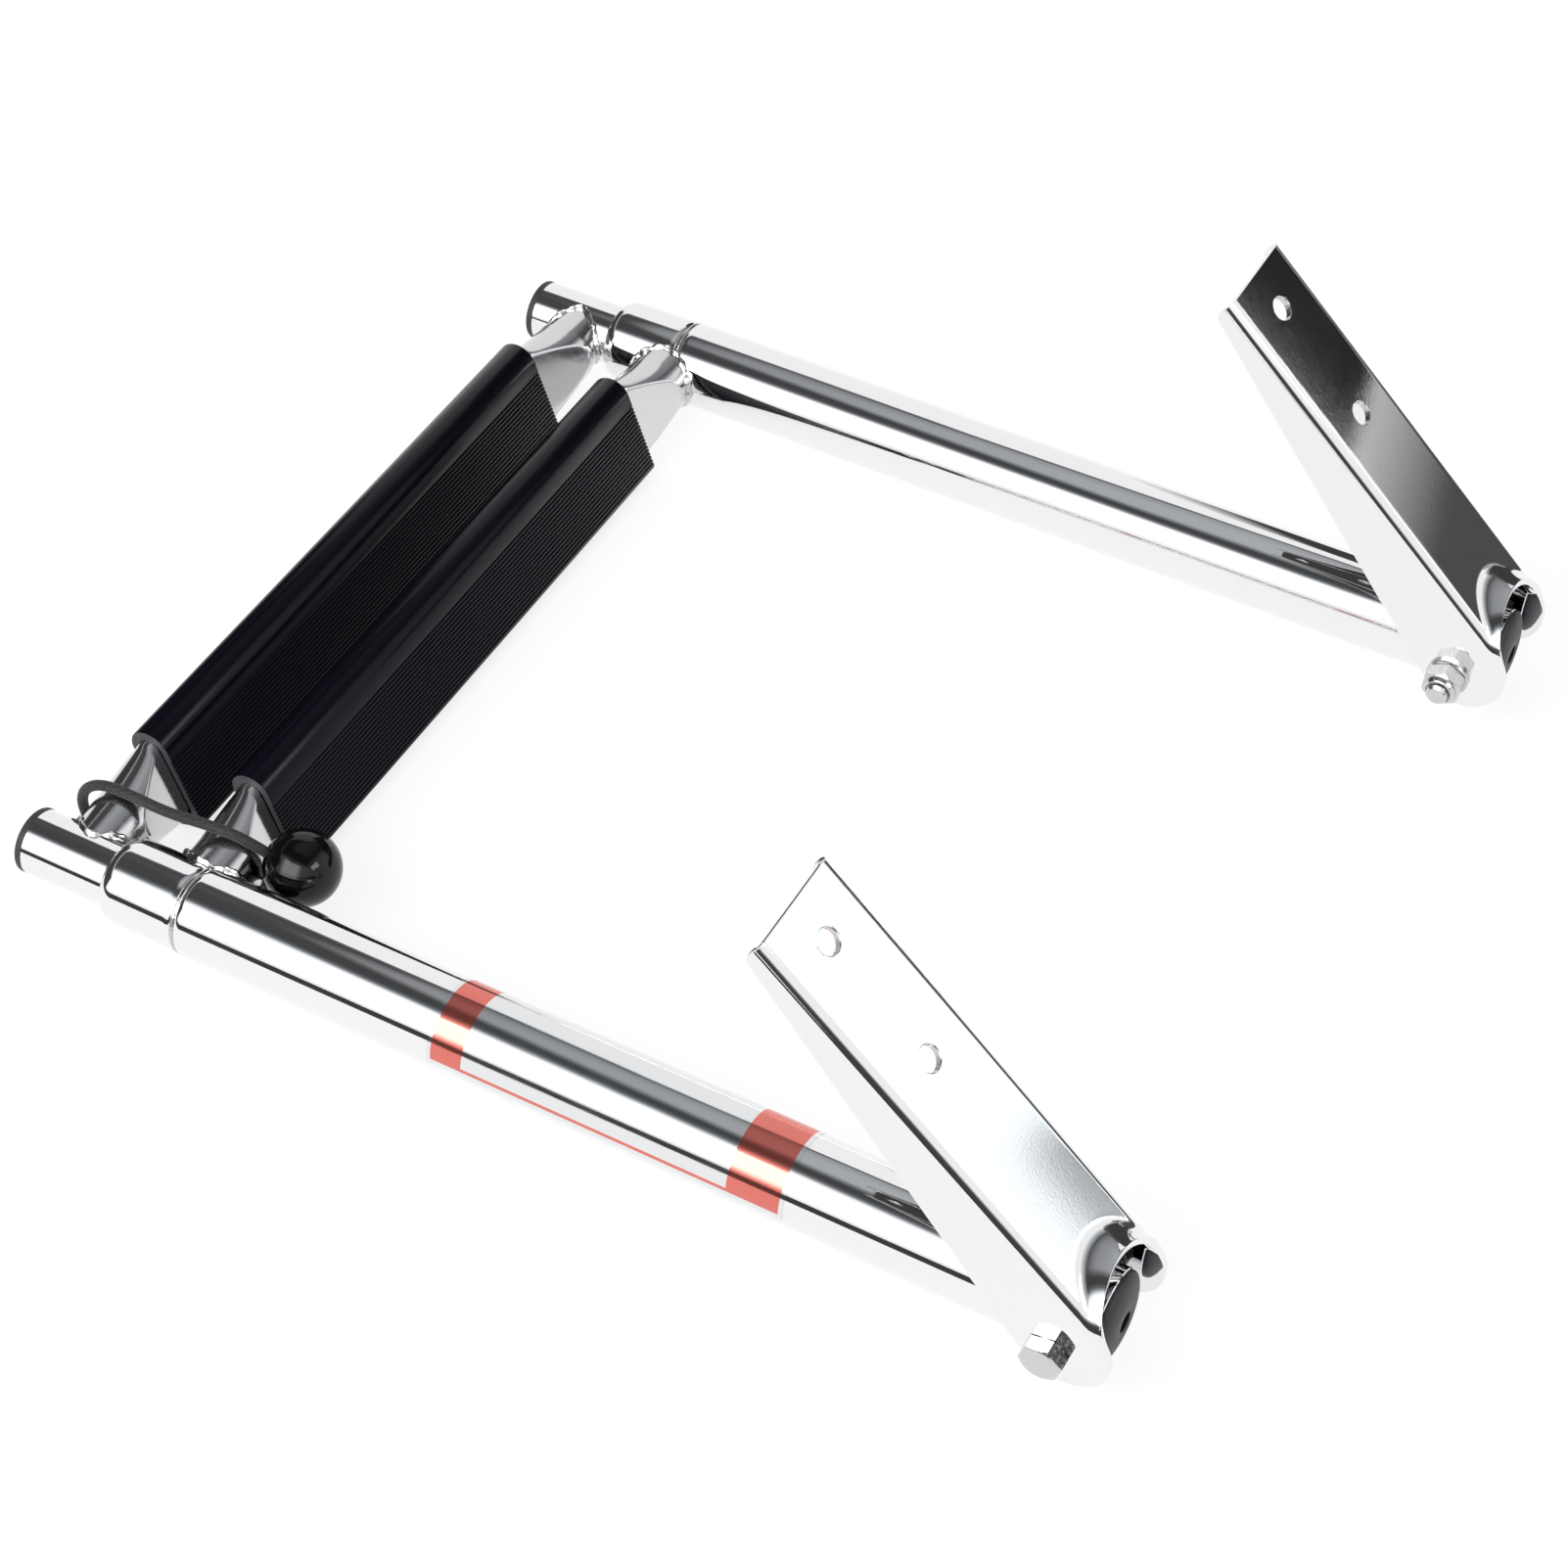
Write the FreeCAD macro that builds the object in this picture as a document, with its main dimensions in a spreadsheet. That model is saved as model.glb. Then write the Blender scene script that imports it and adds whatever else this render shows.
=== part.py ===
"""Two-step telescoping dock ladder on a pair of folding brackets.

The ladder lies level with its brackets half raised. X runs from the left stringer to the right one, Y from
the closed tips of the stringers to the brackets and Z up. The origin is on the floor under the middle of the ladder.
Lengths are in millimetres and angles in degrees.
"""
import FreeCAD, Part
import math
import os
import Sketcher

SIZES = [
    ("stringer_spacing", 325.6, "between the axes of the two stringers"),
    ("tip_to_pivot", 391.3, "from the closed tips to the bracket bolts"),
    ("outer_tube_d", 31.75, "outer tube, outside"),
    ("outer_tube_wall", 1.2, "wall of the outer tube and its collar"),
    ("tube_end_reach", 12.0, "outer tube past the bracket bolt"),
    ("seam_from_tip", 67.7, "middle of the seam ring from the tip"),
    ("seam_ring_width", 1.4, "length of the seam ring"),
    ("seam_ring_drop", 0.35, "seam ring below the tube's surface"),
    ("collar_from_tip", 36.6, "mouth of the collar from the tip"),
    ("collar_drop", 0.3, "collar below the outer tube's surface"),
    ("collar_shoulder", 3.3, "radius of the collar's rounded shoulder"),
    ("collar_step", 1.0, "length over which the collar's bore narrows to its mouth"),
    ("inner_tube_wall", 1.2, "wall of the inner tube"),
    ("slide_gap", 0.1, "running clearance of the sliding tubes"),
    ("inner_end_gap", 22.0, "from the inner tube's hidden end to the bolt axis"),
    ("guide_length", 24.0, "guide bush on the hidden end of the inner tube"),
    ("guide_wall", 2.825, "wall of the guide bush between the two tubes"),
    ("cap_thickness", 3.0, "rim of the end cap on the tip"),
    ("cap_spigot", 10.0, "end cap inside the tube"),
    ("cap_rounding", 1.0, "rounded edge of the end cap"),
    ("plug_face_reach", 17.0, "rubber plug past the bracket bolt"),
    ("plug_face_d", 22.0, "front of the rubber plug"),
    ("plug_hole_d", 5.0, "hole in the rubber plug"),
    ("plug_spigot", 5.0, "rubber plug inside the tube"),
    ("plug_rim_drop", 0.4, "rim of the rubber plug below the tube's surface"),
    ("plug_rim_width", 1.0, "straight rim of the rubber plug"),
    ("upper_rung_from_tip", 64.3, "axis of the upper rung from the tip"),
    ("lower_rung_from_tip", 22.2, "axis of the lower rung from the tip"),
    ("rung_d", 25.4, "rung where it is round, outside"),
    ("lower_rung_margin", 0.55, "lower rung narrower than the inner tube it meets, each side"),
    ("rung_wall", 1.2, "wall of the rungs"),
    ("rung_flat_width", 34.4, "rung where it is pressed flat"),
    ("rung_flat_thickness", 9.6, "rung where it is pressed flat"),
    ("rung_round_length", 11.0, "round stretch at each end, from the tube's surface"),
    ("rung_taper_length", 13.9, "from the round to the flat stretch of the rung"),
    ("step_tilt", 18.7, "steps lean towards the brackets"),
    ("tread_length", 237.8, "length of the treads"),
    ("tread_width", 42.0, "width of the treads"),
    ("tread_wall", 3.0, "wall of the treads"),
    ("tread_gap", 0.1, "gap between tread and rung"),
    ("tread_hook", 6.0, "how far each edge of the tread hooks behind the rung"),
    ("tread_corner", 2.7, "rounding of the tread's low corners"),
    ("rib_pitch", 1.6, "from one grip groove to the next"),
    ("rib_groove_width", 0.7, "width of a grip groove"),
    ("rib_groove_depth", 0.7, "depth of a grip groove"),
    ("rib_count", 17, "grip grooves across a tread"),
    ("rib_edge", 3.0, "from the tread's low edge to the first groove"),
    ("plate", 2.5, "bracket plate"),
    ("bracket_angle", 44.7, "bracket web above the stringers"),
    ("web_height", 23.4, "outer face of the web from the bolt axis"),
    ("web_length", 159.2, "from the bolt axis to the end of the web"),
    ("bend_radius", 4.0, "outside of the bends between web and ears"),
    ("ear_taper", 9.0, "lower edge of the ears against the web"),
    ("lobe_radius", 15.5, "rounded end of the ears"),
    ("lobe_centre_past", 0.8, "centre of the lobe past the bolt axis"),
    ("lobe_centre_up", 6.0, "centre of the lobe towards the web"),
    ("saddle_angle", 44.7, "direction of the saddle against the web"),
    ("saddle_centre_up", 8.0, "centre of the saddle's arch above the bolt axis"),
    ("rim_angle", 25.3, "open rim of the saddle against the web"),
    ("hole_from_end", 15.5, "from the end of the web to the farther mounting hole"),
    ("hole_pitch", 46.9, "between the mounting holes"),
    ("mount_hole_d", 8.5, "mounting holes"),
    ("bolt_d", 8.0, "bracket bolt"),
    ("bolt_gap", 0.1, "clearance round the bolt"),
    ("bolt_head_width", 13.0, "across the flats of the bolt head"),
    ("bolt_head_height", 5.3, "height of the bolt head"),
    ("washer_d", 15.5, "washer"),
    ("washer_thickness", 1.5, "washer"),
    ("nut_width", 13.0, "across the flats of the lock nut"),
    ("nut_height", 6.5, "height of the lock nut's hexagon"),
    ("nut_collar_height", 1.8, "round collar on the lock nut"),
    ("nut_collar_d", 11.2, "round collar on the lock nut, outside"),
    ("bolt_tail", 2.2, "bolt past the lock nut"),
    ("spacer_d", 15.0, "spacer between tube and ear"),
    ("spacer_thickness", 2.1, "spacer between tube and ear"),
    ("spacer_gap", 0.15, "clearance on each side of a spacer"),
    ("ball_d", 25.2, "ball on the stretch cord"),
    ("ball_gap", 2.3, "between the ball and the stringer"),
    ("ball_from_tip", 89.0, "ball from the tip"),
    ("ball_up", 3.0, "ball above the stringer axes"),
    ("cord_d", 3.8, "stretch cord"),
]

# Sizes that follow from the ones above.
FOLLOWING = {
    "inner_tube_d": "outer_tube_d - 2 * (outer_tube_wall + guide_wall + slide_gap)",
    "collar_d": "outer_tube_d - 2 * collar_drop",
    "lower_rung_mouth_d": "inner_tube_d - 2 * lower_rung_margin",
    "bracket_width": "outer_tube_d + 2 * (spacer_thickness + 2 * spacer_gap + plate)",
    "first_hole": "web_length - hole_from_end - hole_pitch",
    "ball_x": "(stringer_spacing - outer_tube_d - ball_d) / 2 - ball_gap",
}

# Middle of the stretch cord, each point as (outward from the ball, from the tip, above the stringer axes).
CORD_ROUTE = [
    (2.3, 65.0, 17.4), (3.8, 43.5, 16.8), (6.0, 22.0, 17.8), (8.6, 8.0, 12.0), (9.8, 4.4, 1.0), (9.4, 7.0, -10.5),
    (7.6, 21.0, -16.9), (5.4, 43.5, -16.6), (2.6, 73.0, -15.8),
]

ARC_SHARE = 0.45  # share of a straight run of the cord that each bend may take

ABOUT_X = FreeCAD.Vector(1, 0, 0)
ABOUT_Z = FreeCAD.Vector(0, 0, 1)
ALONG_Y = FreeCAD.Rotation(ABOUT_X, -90)
ALONG_X = FreeCAD.Rotation(FreeCAD.Vector(0, 1, 0), 90)
PROFILE_XZ = FreeCAD.Rotation(ABOUT_X, 90)
PROFILE_YZ = FreeCAD.Rotation(FreeCAD.Vector(1, 1, 1), 120)

doc = FreeCAD.newDocument("DockLadder")
sheet = doc.addObject("Spreadsheet::Sheet", "Sizes")
for row, (alias, size, meaning) in enumerate(SIZES, start=1):
    sheet.set(f"A{row}", alias)
    sheet.set(f"B{row}", str(size))
    sheet.set(f"C{row}", meaning)
    sheet.setAlias(f"B{row}", alias)
doc.recompute()
ALIASES = {alias for alias, size, meaning in SIZES}
nodes = []


def bound(expression):
    """Put the sheet's name before each alias, and write out each size that follows from others."""
    words = []
    word = ""
    for letter in str(expression) + " ":
        if letter.isalnum() or letter == "_" or (letter == "." and word[:1].isdigit()):
            word += letter
            continue
        if word in FOLLOWING:
            word = f"({bound(FOLLOWING[word])})"
        words.append("Sizes." + word if word in ALIASES else word)
        words.append(letter)
        word = ""
    return "".join(words).strip()


def value(expression):
    """Number that an expression of sheet values gives now."""
    result = sheet.evalExpression(bound(expression))
    return float(getattr(result, "Value", result))


def bind(thing, **expressions):
    """Tie properties to expressions; a name such as base_x stands for Placement.Base.x."""
    for name, expression in expressions.items():
        path = {"base_x": "Placement.Base.x", "base_y": "Placement.Base.y", "base_z": "Placement.Base.z",
                "turn": "Placement.Rotation.Angle"}.get(name, name)
        thing.setExpression(path, bound(expression))


def place(thing, rotation, x="0", y="0", z="0"):
    thing.Placement = FreeCAD.Placement(FreeCAD.Vector(value(x), value(y), value(z)), rotation)
    bind(thing, base_x=x, base_y=y, base_z=z)


def add_outline(sketch, steps):
    """Closed outline through steps (x, y); a step (x, y, centre x, centre y, turn) starts an arc to the next one.

    Each line and arc is held by the expressions of its own ends and centre.
    """
    points = [FreeCAD.Vector(value(step[0]), value(step[1]), 0) for step in steps]

    def tie(kind, index, point, expression):
        number = sketch.addConstraint(Sketcher.Constraint(kind, -1, 1, index, point, value(expression)))
        sketch.setExpression(f"Constraints[{number}]", bound(expression))

    for index, step in enumerate(steps):
        following = (index + 1) % len(steps)
        start, end, after = points[index], points[following], steps[following]
        flipped = len(step) > 2 and step[4] == "right"
        if len(step) == 2:
            sketch.addGeometry(Part.LineSegment(start, end))
            tie("DistanceX", index, 2, after[0])
            tie("DistanceY", index, 2, after[1])
        else:
            centre = FreeCAD.Vector(value(step[2]), value(step[3]), 0)
            begin = math.atan2(start.y - centre.y, start.x - centre.x)
            finish = math.atan2(end.y - centre.y, end.x - centre.x)
            circle = Part.Circle(centre, ABOUT_Z, start.sub(centre).Length)
            if flipped:
                begin += 2 * math.pi if begin <= finish else 0
                sketch.addGeometry(Part.ArcOfCircle(circle, finish, begin))
            else:
                finish += 2 * math.pi if finish <= begin else 0
                sketch.addGeometry(Part.ArcOfCircle(circle, begin, finish))
            tie("DistanceX", index, 3, step[2])
            tie("DistanceY", index, 3, step[3])
            if abs(end.x - centre.x) > abs(end.y - centre.y):
                tie("DistanceY", index, 1 if flipped else 2, after[1])
            else:
                tie("DistanceX", index, 1 if flipped else 2, after[0])
        tie("DistanceX", index, 2 if flipped else 1, step[0])
        tie("DistanceY", index, 2 if flipped else 1, step[1])


def outline(name, steps, rotation, x="0", y="0", z="0"):
    sketch = doc.addObject("Sketcher::SketchObject", name)
    place(sketch, rotation, x, y, z)
    add_outline(sketch, steps)
    return sketch


def turned(name, steps, rotation, x="0", y="0", z="0"):
    """Body made by turning a profile of (radius, length along the axis) steps about its own axis."""
    body = doc.addObject("PartDesign::Body", name)
    sketch = body.newObject("Sketcher::SketchObject", name + "_profile")
    plane = next(feature for feature in body.Origin.OriginFeatures if feature.Role == "XZ_Plane")
    sketch.AttachmentSupport = [(plane, "")]
    sketch.MapMode = "FlatFace"
    add_outline(sketch, steps)
    spin = body.newObject("PartDesign::Revolution", name + "_spin")
    spin.Profile = sketch
    spin.ReferenceAxis = (sketch, ["V_Axis"])
    spin.Angle = 360
    body.Tip = spin
    place(body, rotation, x, y, z)
    return body


def cylinder(name, diameter, length, rotation, x="0", y="0", z="0"):
    rod = doc.addObject("Part::Cylinder", name)
    bind(rod, Radius=f"({diameter}) / 2", Height=length)
    place(rod, rotation, x, y, z)
    return rod


def extruded(name, sketch, direction, forward, backward="0"):
    solid = doc.addObject("Part::Extrusion", name)
    solid.Base = sketch
    solid.DirMode = "Custom"
    solid.Dir = direction
    solid.Solid = True
    bind(solid, LengthFwd=forward, LengthRev=backward)
    return solid


def cut(name, base, tool):
    result = doc.addObject("Part::Cut", name)
    result.Base, result.Tool = base, tool
    return result


def joined(name, pieces):
    result = doc.addObject("Part::MultiFuse", name)
    result.Shapes = pieces
    return result


def keep(thing, label):
    """Take a finished sub-part into the list under its own label."""
    thing.Label = label
    nodes.append(thing)
    return thing


# Places from the middle of the ladder on the floor: the stringers' axes are as high as the treads reach below them.
REACH = "(lobe_centre_past * cos(bracket_angle) + lobe_centre_up * sin(bracket_angle) + lobe_radius)"
MIDDLE = f"((tip_to_pivot + {REACH}) / 2)"
TREAD_BACK = "(rung_flat_thickness / 2 + tread_gap + tread_wall)"
AXIS = (f"((tread_width / 2 - tread_corner) * cos(step_tilt) + ({TREAD_BACK} - tread_corner) * sin(step_tilt)"
        " + tread_corner)")
PIVOT = f"(tip_to_pivot - {MIDDLE})"


def from_tip(distance):
    return f"({distance} - {MIDDLE})"


def side_x(side, outward="0"):
    """X of a stringer's axis, moved outward from the middle of the ladder."""
    return f"{side} * (stringer_spacing / 2 + {outward})"


def make_outer_tube(side, label):
    start = "seam_from_tip + seam_ring_width / 2"
    length = f"tip_to_pivot + tube_end_reach - ({start})"
    x, y = side_x(side), from_tip(start)
    skin = cylinder(label + "_skin", "outer_tube_d", length, ALONG_Y, x, y, AXIS)
    bore = cylinder(label + "_bore", "outer_tube_d - 2 * outer_tube_wall", length, ALONG_Y, x, y, AXIS)
    hole = cylinder(label + "_bolt_hole", "bolt_d + 2 * bolt_gap", "2 * outer_tube_d", ALONG_X,
                    side_x(side) + " - outer_tube_d", PIVOT, AXIS)
    return keep(cut(label, cut(label + "_shell", skin, bore), hole), label)


def make_seam_ring(side, label):
    start = from_tip("seam_from_tip - seam_ring_width / 2")
    x = side_x(side)
    ring = cylinder(label + "_rim", "outer_tube_d - 2 * seam_ring_drop", "seam_ring_width", ALONG_Y, x, start, AXIS)
    bore = cylinder(label + "_bore", "outer_tube_d - 2 * outer_tube_wall", "seam_ring_width", ALONG_Y, x, start,
                    AXIS)
    return keep(cut(label, ring, bore), label)


def make_collar(side, label):
    """Spun collar: a short tube whose mouth is rounded in to the inner tube."""
    mouth = "(inner_tube_d / 2 + slide_gap)"
    length = "(seam_from_tip - seam_ring_width / 2 - collar_from_tip)"
    outer, inner = "(collar_d / 2)", "(outer_tube_d / 2 - outer_tube_wall)"
    lip = "(inner_tube_d / 2 + slide_gap + outer_tube_wall)"
    wall = "outer_tube_wall"
    steps = [
        (mouth, "0"),
        (f"{outer} - collar_shoulder", "0", f"{outer} - collar_shoulder", "collar_shoulder", "left"),
        (outer, "collar_shoulder"),
        (outer, length),
        (inner, length),
        (inner, f"{wall} + collar_step"),
        (lip, wall),
        (mouth, wall),
    ]
    return keep(turned(label, steps, ALONG_Y, side_x(side), from_tip("collar_from_tip"), AXIS), label)


def make_inner_tube(side, label):
    start = "cap_thickness"
    length = "tip_to_pivot - inner_end_gap - cap_thickness"
    x, y = side_x(side), from_tip(start)
    skin = cylinder(label + "_skin", "inner_tube_d", length, ALONG_Y, x, y, AXIS)
    bore = cylinder(label + "_bore", "inner_tube_d - 2 * inner_tube_wall", length, ALONG_Y, x, y, AXIS)
    return keep(cut(label, skin, bore), label)


def make_guide_bush(side, label):
    start = from_tip("tip_to_pivot - inner_end_gap - guide_length")
    outside = "outer_tube_d - 2 * outer_tube_wall - 2 * slide_gap"
    ring = cylinder(label + "_ring", outside, "guide_length", ALONG_Y, side_x(side), start, AXIS)
    bore = cylinder(label + "_bore", "inner_tube_d", "guide_length", ALONG_Y, side_x(side), start, AXIS)
    return keep(cut(label, ring, bore), label)


def make_end_cap(side, label):
    rim, spigot = "(inner_tube_d / 2)", "(inner_tube_d / 2 - inner_tube_wall)"
    steps = [
        ("0", "0"),
        (f"{rim} - cap_rounding", "0", f"{rim} - cap_rounding", "cap_rounding", "left"),
        (rim, "cap_rounding"),
        (rim, "cap_thickness"),
        (spigot, "cap_thickness"),
        (spigot, "cap_thickness + cap_spigot"),
        ("0", "cap_thickness + cap_spigot"),
    ]
    return keep(turned(label, steps, ALONG_Y, side_x(side), from_tip("0"), AXIS), label)


def make_end_plug(side, label):
    """Rubber plug with a stepped rim, a bevelled front and a small hole."""
    bore = "(outer_tube_d / 2 - outer_tube_wall)"
    rim = "(outer_tube_d / 2 - plug_rim_drop)"
    length = "(plug_spigot + plug_face_reach - tube_end_reach)"
    steps = [
        ("plug_hole_d / 2", "0"),
        (bore, "0"),
        (bore, "plug_spigot"),
        (rim, "plug_spigot"),
        (rim, "plug_spigot + plug_rim_width"),
        ("plug_face_d / 2", length),
        ("plug_hole_d / 2", length),
    ]
    start = "(tip_to_pivot + tube_end_reach - plug_spigot)"
    return keep(turned(label, steps, ALONG_Y, side_x(side), from_tip(start), AXIS), label)


def lean(thing, y):
    """Set a finished step piece on its axis, leaning towards the brackets."""
    place(thing, FreeCAD.Rotation(ABOUT_X, value("step_tilt")), "0", y, AXIS)
    bind(thing, turn="step_tilt")
    return thing


def rung_skin(name, inset, mouth_d):
    """Solid that is round at its ends and pressed to a flat oval between them."""
    half_thick = f"(rung_flat_thickness / 2 - {inset})"
    half_wide = f"(rung_flat_width / 2 - {inset} - {half_thick})"
    end_x = "stringer_spacing / 2"
    round_x = f"({end_x} - outer_tube_d / 2 - rung_round_length)"
    flat_x = f"({round_x} - rung_taper_length)"
    oval = [
        (half_thick, half_wide),
        (half_thick, f"-{half_wide}", "0", f"-{half_wide}", "right"),
        (f"-{half_thick}", f"-{half_wide}"),
        (f"-{half_thick}", half_wide, "0", half_wide, "right"),
    ]

    def ring(diameter):
        corner = f"(({diameter} / 2 - {inset}) * sin(45))"
        turns = [(corner, corner), (corner, f"-{corner}"), (f"-{corner}", f"-{corner}"), (f"-{corner}", corner)]
        return [turn + ("0", "0", "right") for turn in turns]

    mouth, round_end = ring(mouth_d), ring("rung_d")
    sections = []
    for number, (steps, x) in enumerate([(mouth, f"-{end_x}"), (round_end, f"-{round_x}"), (oval, f"-{flat_x}"),
                                         (oval, flat_x), (round_end, round_x), (mouth, end_x)]):
        sections.append(outline(f"{name}_section_{number}", steps, PROFILE_YZ, x))
    skin = doc.addObject("Part::Loft", name)
    skin.Sections = sections
    skin.Solid = True
    skin.Ruled = True
    return skin


def make_rung(label, distance, tube_d, mouth_d):
    skin = rung_skin(label + "_skin", "0", mouth_d)
    shell = lean(cut(label + "_shell", skin, rung_skin(label + "_hollow", "rung_wall", mouth_d)), from_tip(distance))
    saddles = [cylinder(f"{label}_cope_{number}", tube_d, "4 * rung_d", ALONG_Y, side_x(side),
                        from_tip(f"({distance} - 2 * rung_d)"), AXIS)
               for number, side in enumerate((1, -1))]
    return keep(cut(label, shell, joined(label + "_copes", saddles)), label)


def make_tread(label, distance):
    """Extruded grip: a round nose on top, ribs on the face and both edges hooked behind the flat rung."""
    half = "(tread_width / 2)"
    face = TREAD_BACK
    inside = "(rung_flat_thickness / 2 + tread_gap)"
    seat = "(rung_flat_width / 2 - rung_flat_thickness / 2)"
    nose = f"({half} - {face})"
    corner = "tread_corner"
    low = f"(-{half})"
    back = f"(-{face})"
    steps = [
        (face, nose),
        (face, f"{low} + {corner}", f"{face} - {corner}", f"{low} + {corner}", "right"),
        (f"{face} - {corner}", low),
        (f"{back} + {corner}", low, f"{back} + {corner}", f"{low} + {corner}", "right"),
        (back, f"{low} + {corner}"),
        (back, f"-({seat}) + tread_hook - {inside}"),
        (f"-{inside}", f"-({seat}) + tread_hook - {inside}"),
        (f"-{inside}", f"-{seat}", "0", f"-{seat}", "left"),
        (inside, f"-{seat}"),
        (inside, seat, "0", seat, "left"),
        (f"-{inside}", seat),
        (f"-{inside}", f"{seat} - tread_hook + {inside}"),
        (back, f"{seat} - tread_hook + {inside}"),
        (back, nose, "0", nose, "right"),
    ]
    start = "-tread_length / 2"
    section = outline(label + "_outline", steps, PROFILE_YZ, start)
    blank = extruded(label + "_blank", section, ABOUT_X, "tread_length")
    grooves = []
    for number in range(int(value("rib_count"))):
        groove = doc.addObject("Part::Box", f"{label}_groove_{number}")
        bind(groove, Length="tread_length", Width="2 * rib_groove_depth", Height="rib_groove_width")
        place(groove, FreeCAD.Rotation(), start, f"{face} - rib_groove_depth",
              f"-{half} + rib_edge + {number} * rib_pitch")
        grooves.append(groove)
    return keep(lean(cut(label, blank, joined(label + "_grooves", grooves)), from_tip(distance)), label)


def make_bracket(side, label):
    """Folded channel with tapering ears, a round lobe at the bolt and a half-round saddle at the open end.

    It is drawn with its web along the stringer and its bolt axis at the origin, then turned up by its angle.
    """
    half, thick = "(bracket_width / 2)", "plate"
    depth = "(2 * lobe_radius)"
    web, bend = "web_height", "bend_radius"
    below = "(2 * lobe_radius)"

    def channel(name, width, height, radius):
        steps = [
            (f"-{width}", f"-{below}"),
            (width, f"-{below}"),
            (width, f"{height} - {radius}", f"{width} - {radius}", f"{height} - {radius}", "left"),
            (f"{width} - {radius}", height),
            (f"-{width} + {radius}", height, f"-{width} + {radius}", f"{height} - {radius}", "left"),
            (f"-{width}", f"{height} - {radius}"),
        ]
        sketch = outline(name + "_profile", steps, PROFILE_XZ)
        return extruded(name, sketch, FreeCAD.Vector(0, 1, 0), depth, "web_length + plate")

    def arch(name, radius):
        top = "saddle_centre_up"
        steps = [
            (f"-{radius}", f"-{below}"),
            (radius, f"-{below}"),
            (radius, top, "0", top, "left"),
            (f"-{radius}", top),
        ]
        sketch = outline(name + "_profile", steps, FreeCAD.Rotation(ABOUT_X, 90 + value("saddle_angle")))
        bind(sketch, turn="90 + saddle_angle")
        turn = math.radians(value("saddle_angle"))
        return extruded(name, sketch, FreeCAD.Vector(0, math.cos(turn), math.sin(turn)), "2 * lobe_radius",
                        "lobe_radius / 2")

    outside = joined(label + "_outside", [channel(label + "_channel", half, web, bend),
                                          arch(label + "_saddle", half)])
    inside = joined(label + "_inside", [
        channel(label + "_channel_inside", f"({half} - {thick})", f"({web} - {thick})", f"({bend} - {thick})"),
        arch(label + "_saddle_inside", f"({half} - {thick})"),
    ])
    low_y = "(lobe_centre_past - lobe_radius * sin(ear_taper))"
    low_z = "(lobe_centre_up - lobe_radius * cos(ear_taper))"
    high_y = "(lobe_centre_past + lobe_radius * sin(rim_angle))"
    high_z = "(lobe_centre_up + lobe_radius * cos(rim_angle))"
    rise = "(2 * bracket_width)"
    steps = [
        ("-web_length", f"{high_z} + {rise} * sin(rim_angle)"),
        ("-web_length", f"{low_z} + (web_length + {low_y}) * tan(ear_taper)"),
        (low_y, low_z, "lobe_centre_past", "lobe_centre_up", "left"),
        (high_y, high_z),
        (f"{high_y} - {rise} * cos(rim_angle)", f"{high_z} + {rise} * sin(rim_angle)"),
    ]
    sketch = outline(label + "_side_profile", steps, PROFILE_YZ, "-bracket_width")
    side_view = extruded(label + "_side_view", sketch, ABOUT_X, "2 * bracket_width")
    trimmed = doc.addObject("Part::MultiCommon", label + "_trimmed")
    trimmed.Shapes = [outside, side_view]
    bolt_hole = cylinder(label + "_bolt_hole", "bolt_d + 2 * bolt_gap", "2 * bracket_width", ALONG_X,
                         "-bracket_width")
    holes = [bolt_hole]
    for number, distance in enumerate(("first_hole", "first_hole + hole_pitch")):
        holes.append(cylinder(f"{label}_hole_{number}", "mount_hole_d", "4 * plate", FreeCAD.Rotation(), "0",
                              f"-({distance})", f"{web} - 2 * plate"))
    hollow = joined(label + "_hollow", [inside] + holes)
    bracket = cut(label, trimmed, hollow)
    place(bracket, FreeCAD.Rotation(ABOUT_X, -value("bracket_angle")), side_x(side), PIVOT, AXIS)
    bind(bracket, turn="-bracket_angle")
    return keep(bracket, label)


def hexagon(name, across_flats, height, x, y, z, rotation):
    prism = doc.addObject("Part::Prism", name)
    prism.Polygon = 6
    bind(prism, Circumradius=f"{across_flats} / 2 / cos(30)", Height=height)
    place(prism, rotation, x, y, z)
    return prism


def outward_rotation(side):
    return FreeCAD.Rotation(FreeCAD.Vector(0, 1, 0), 90 * side)


def make_bolt(side, label):
    face = side_x(side, "bracket_width / 2")
    outward = outward_rotation(side)
    inward = outward_rotation(-side)
    head = hexagon(label + "_head", "bolt_head_width", "bolt_head_height", face, PIVOT, AXIS, outward)
    length = "(bracket_width + washer_thickness + nut_height + nut_collar_height + bolt_tail)"
    shank = cylinder(label + "_shank", "bolt_d", length, inward, face, PIVOT, AXIS)
    return keep(joined(label, [head, shank]), label)


def make_washer(side, label):
    face = side_x(side, "(-bracket_width / 2)")
    inward = outward_rotation(-side)
    disc = cylinder(label + "_disc", "washer_d", "washer_thickness", inward, face, PIVOT, AXIS)
    hole = cylinder(label + "_hole", "bolt_d + 2 * bolt_gap", "washer_thickness", inward, face, PIVOT, AXIS)
    return keep(cut(label, disc, hole), label)


def make_nut(side, label):
    start = "(-bracket_width / 2 - washer_thickness)"
    inward = outward_rotation(-side)
    body = hexagon(label + "_body", "nut_width", "nut_height", side_x(side, start), PIVOT, AXIS, inward)
    collar = cylinder(label + "_collar", "nut_collar_d", "nut_height + nut_collar_height", inward,
                      side_x(side, start), PIVOT, AXIS)
    hole = cylinder(label + "_hole", "bolt_d + 2 * bolt_gap", "2 * nut_height", inward, side_x(side, start), PIVOT,
                    AXIS)
    return keep(cut(label, joined(label + "_blank", [body, collar]), hole), label)


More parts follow.
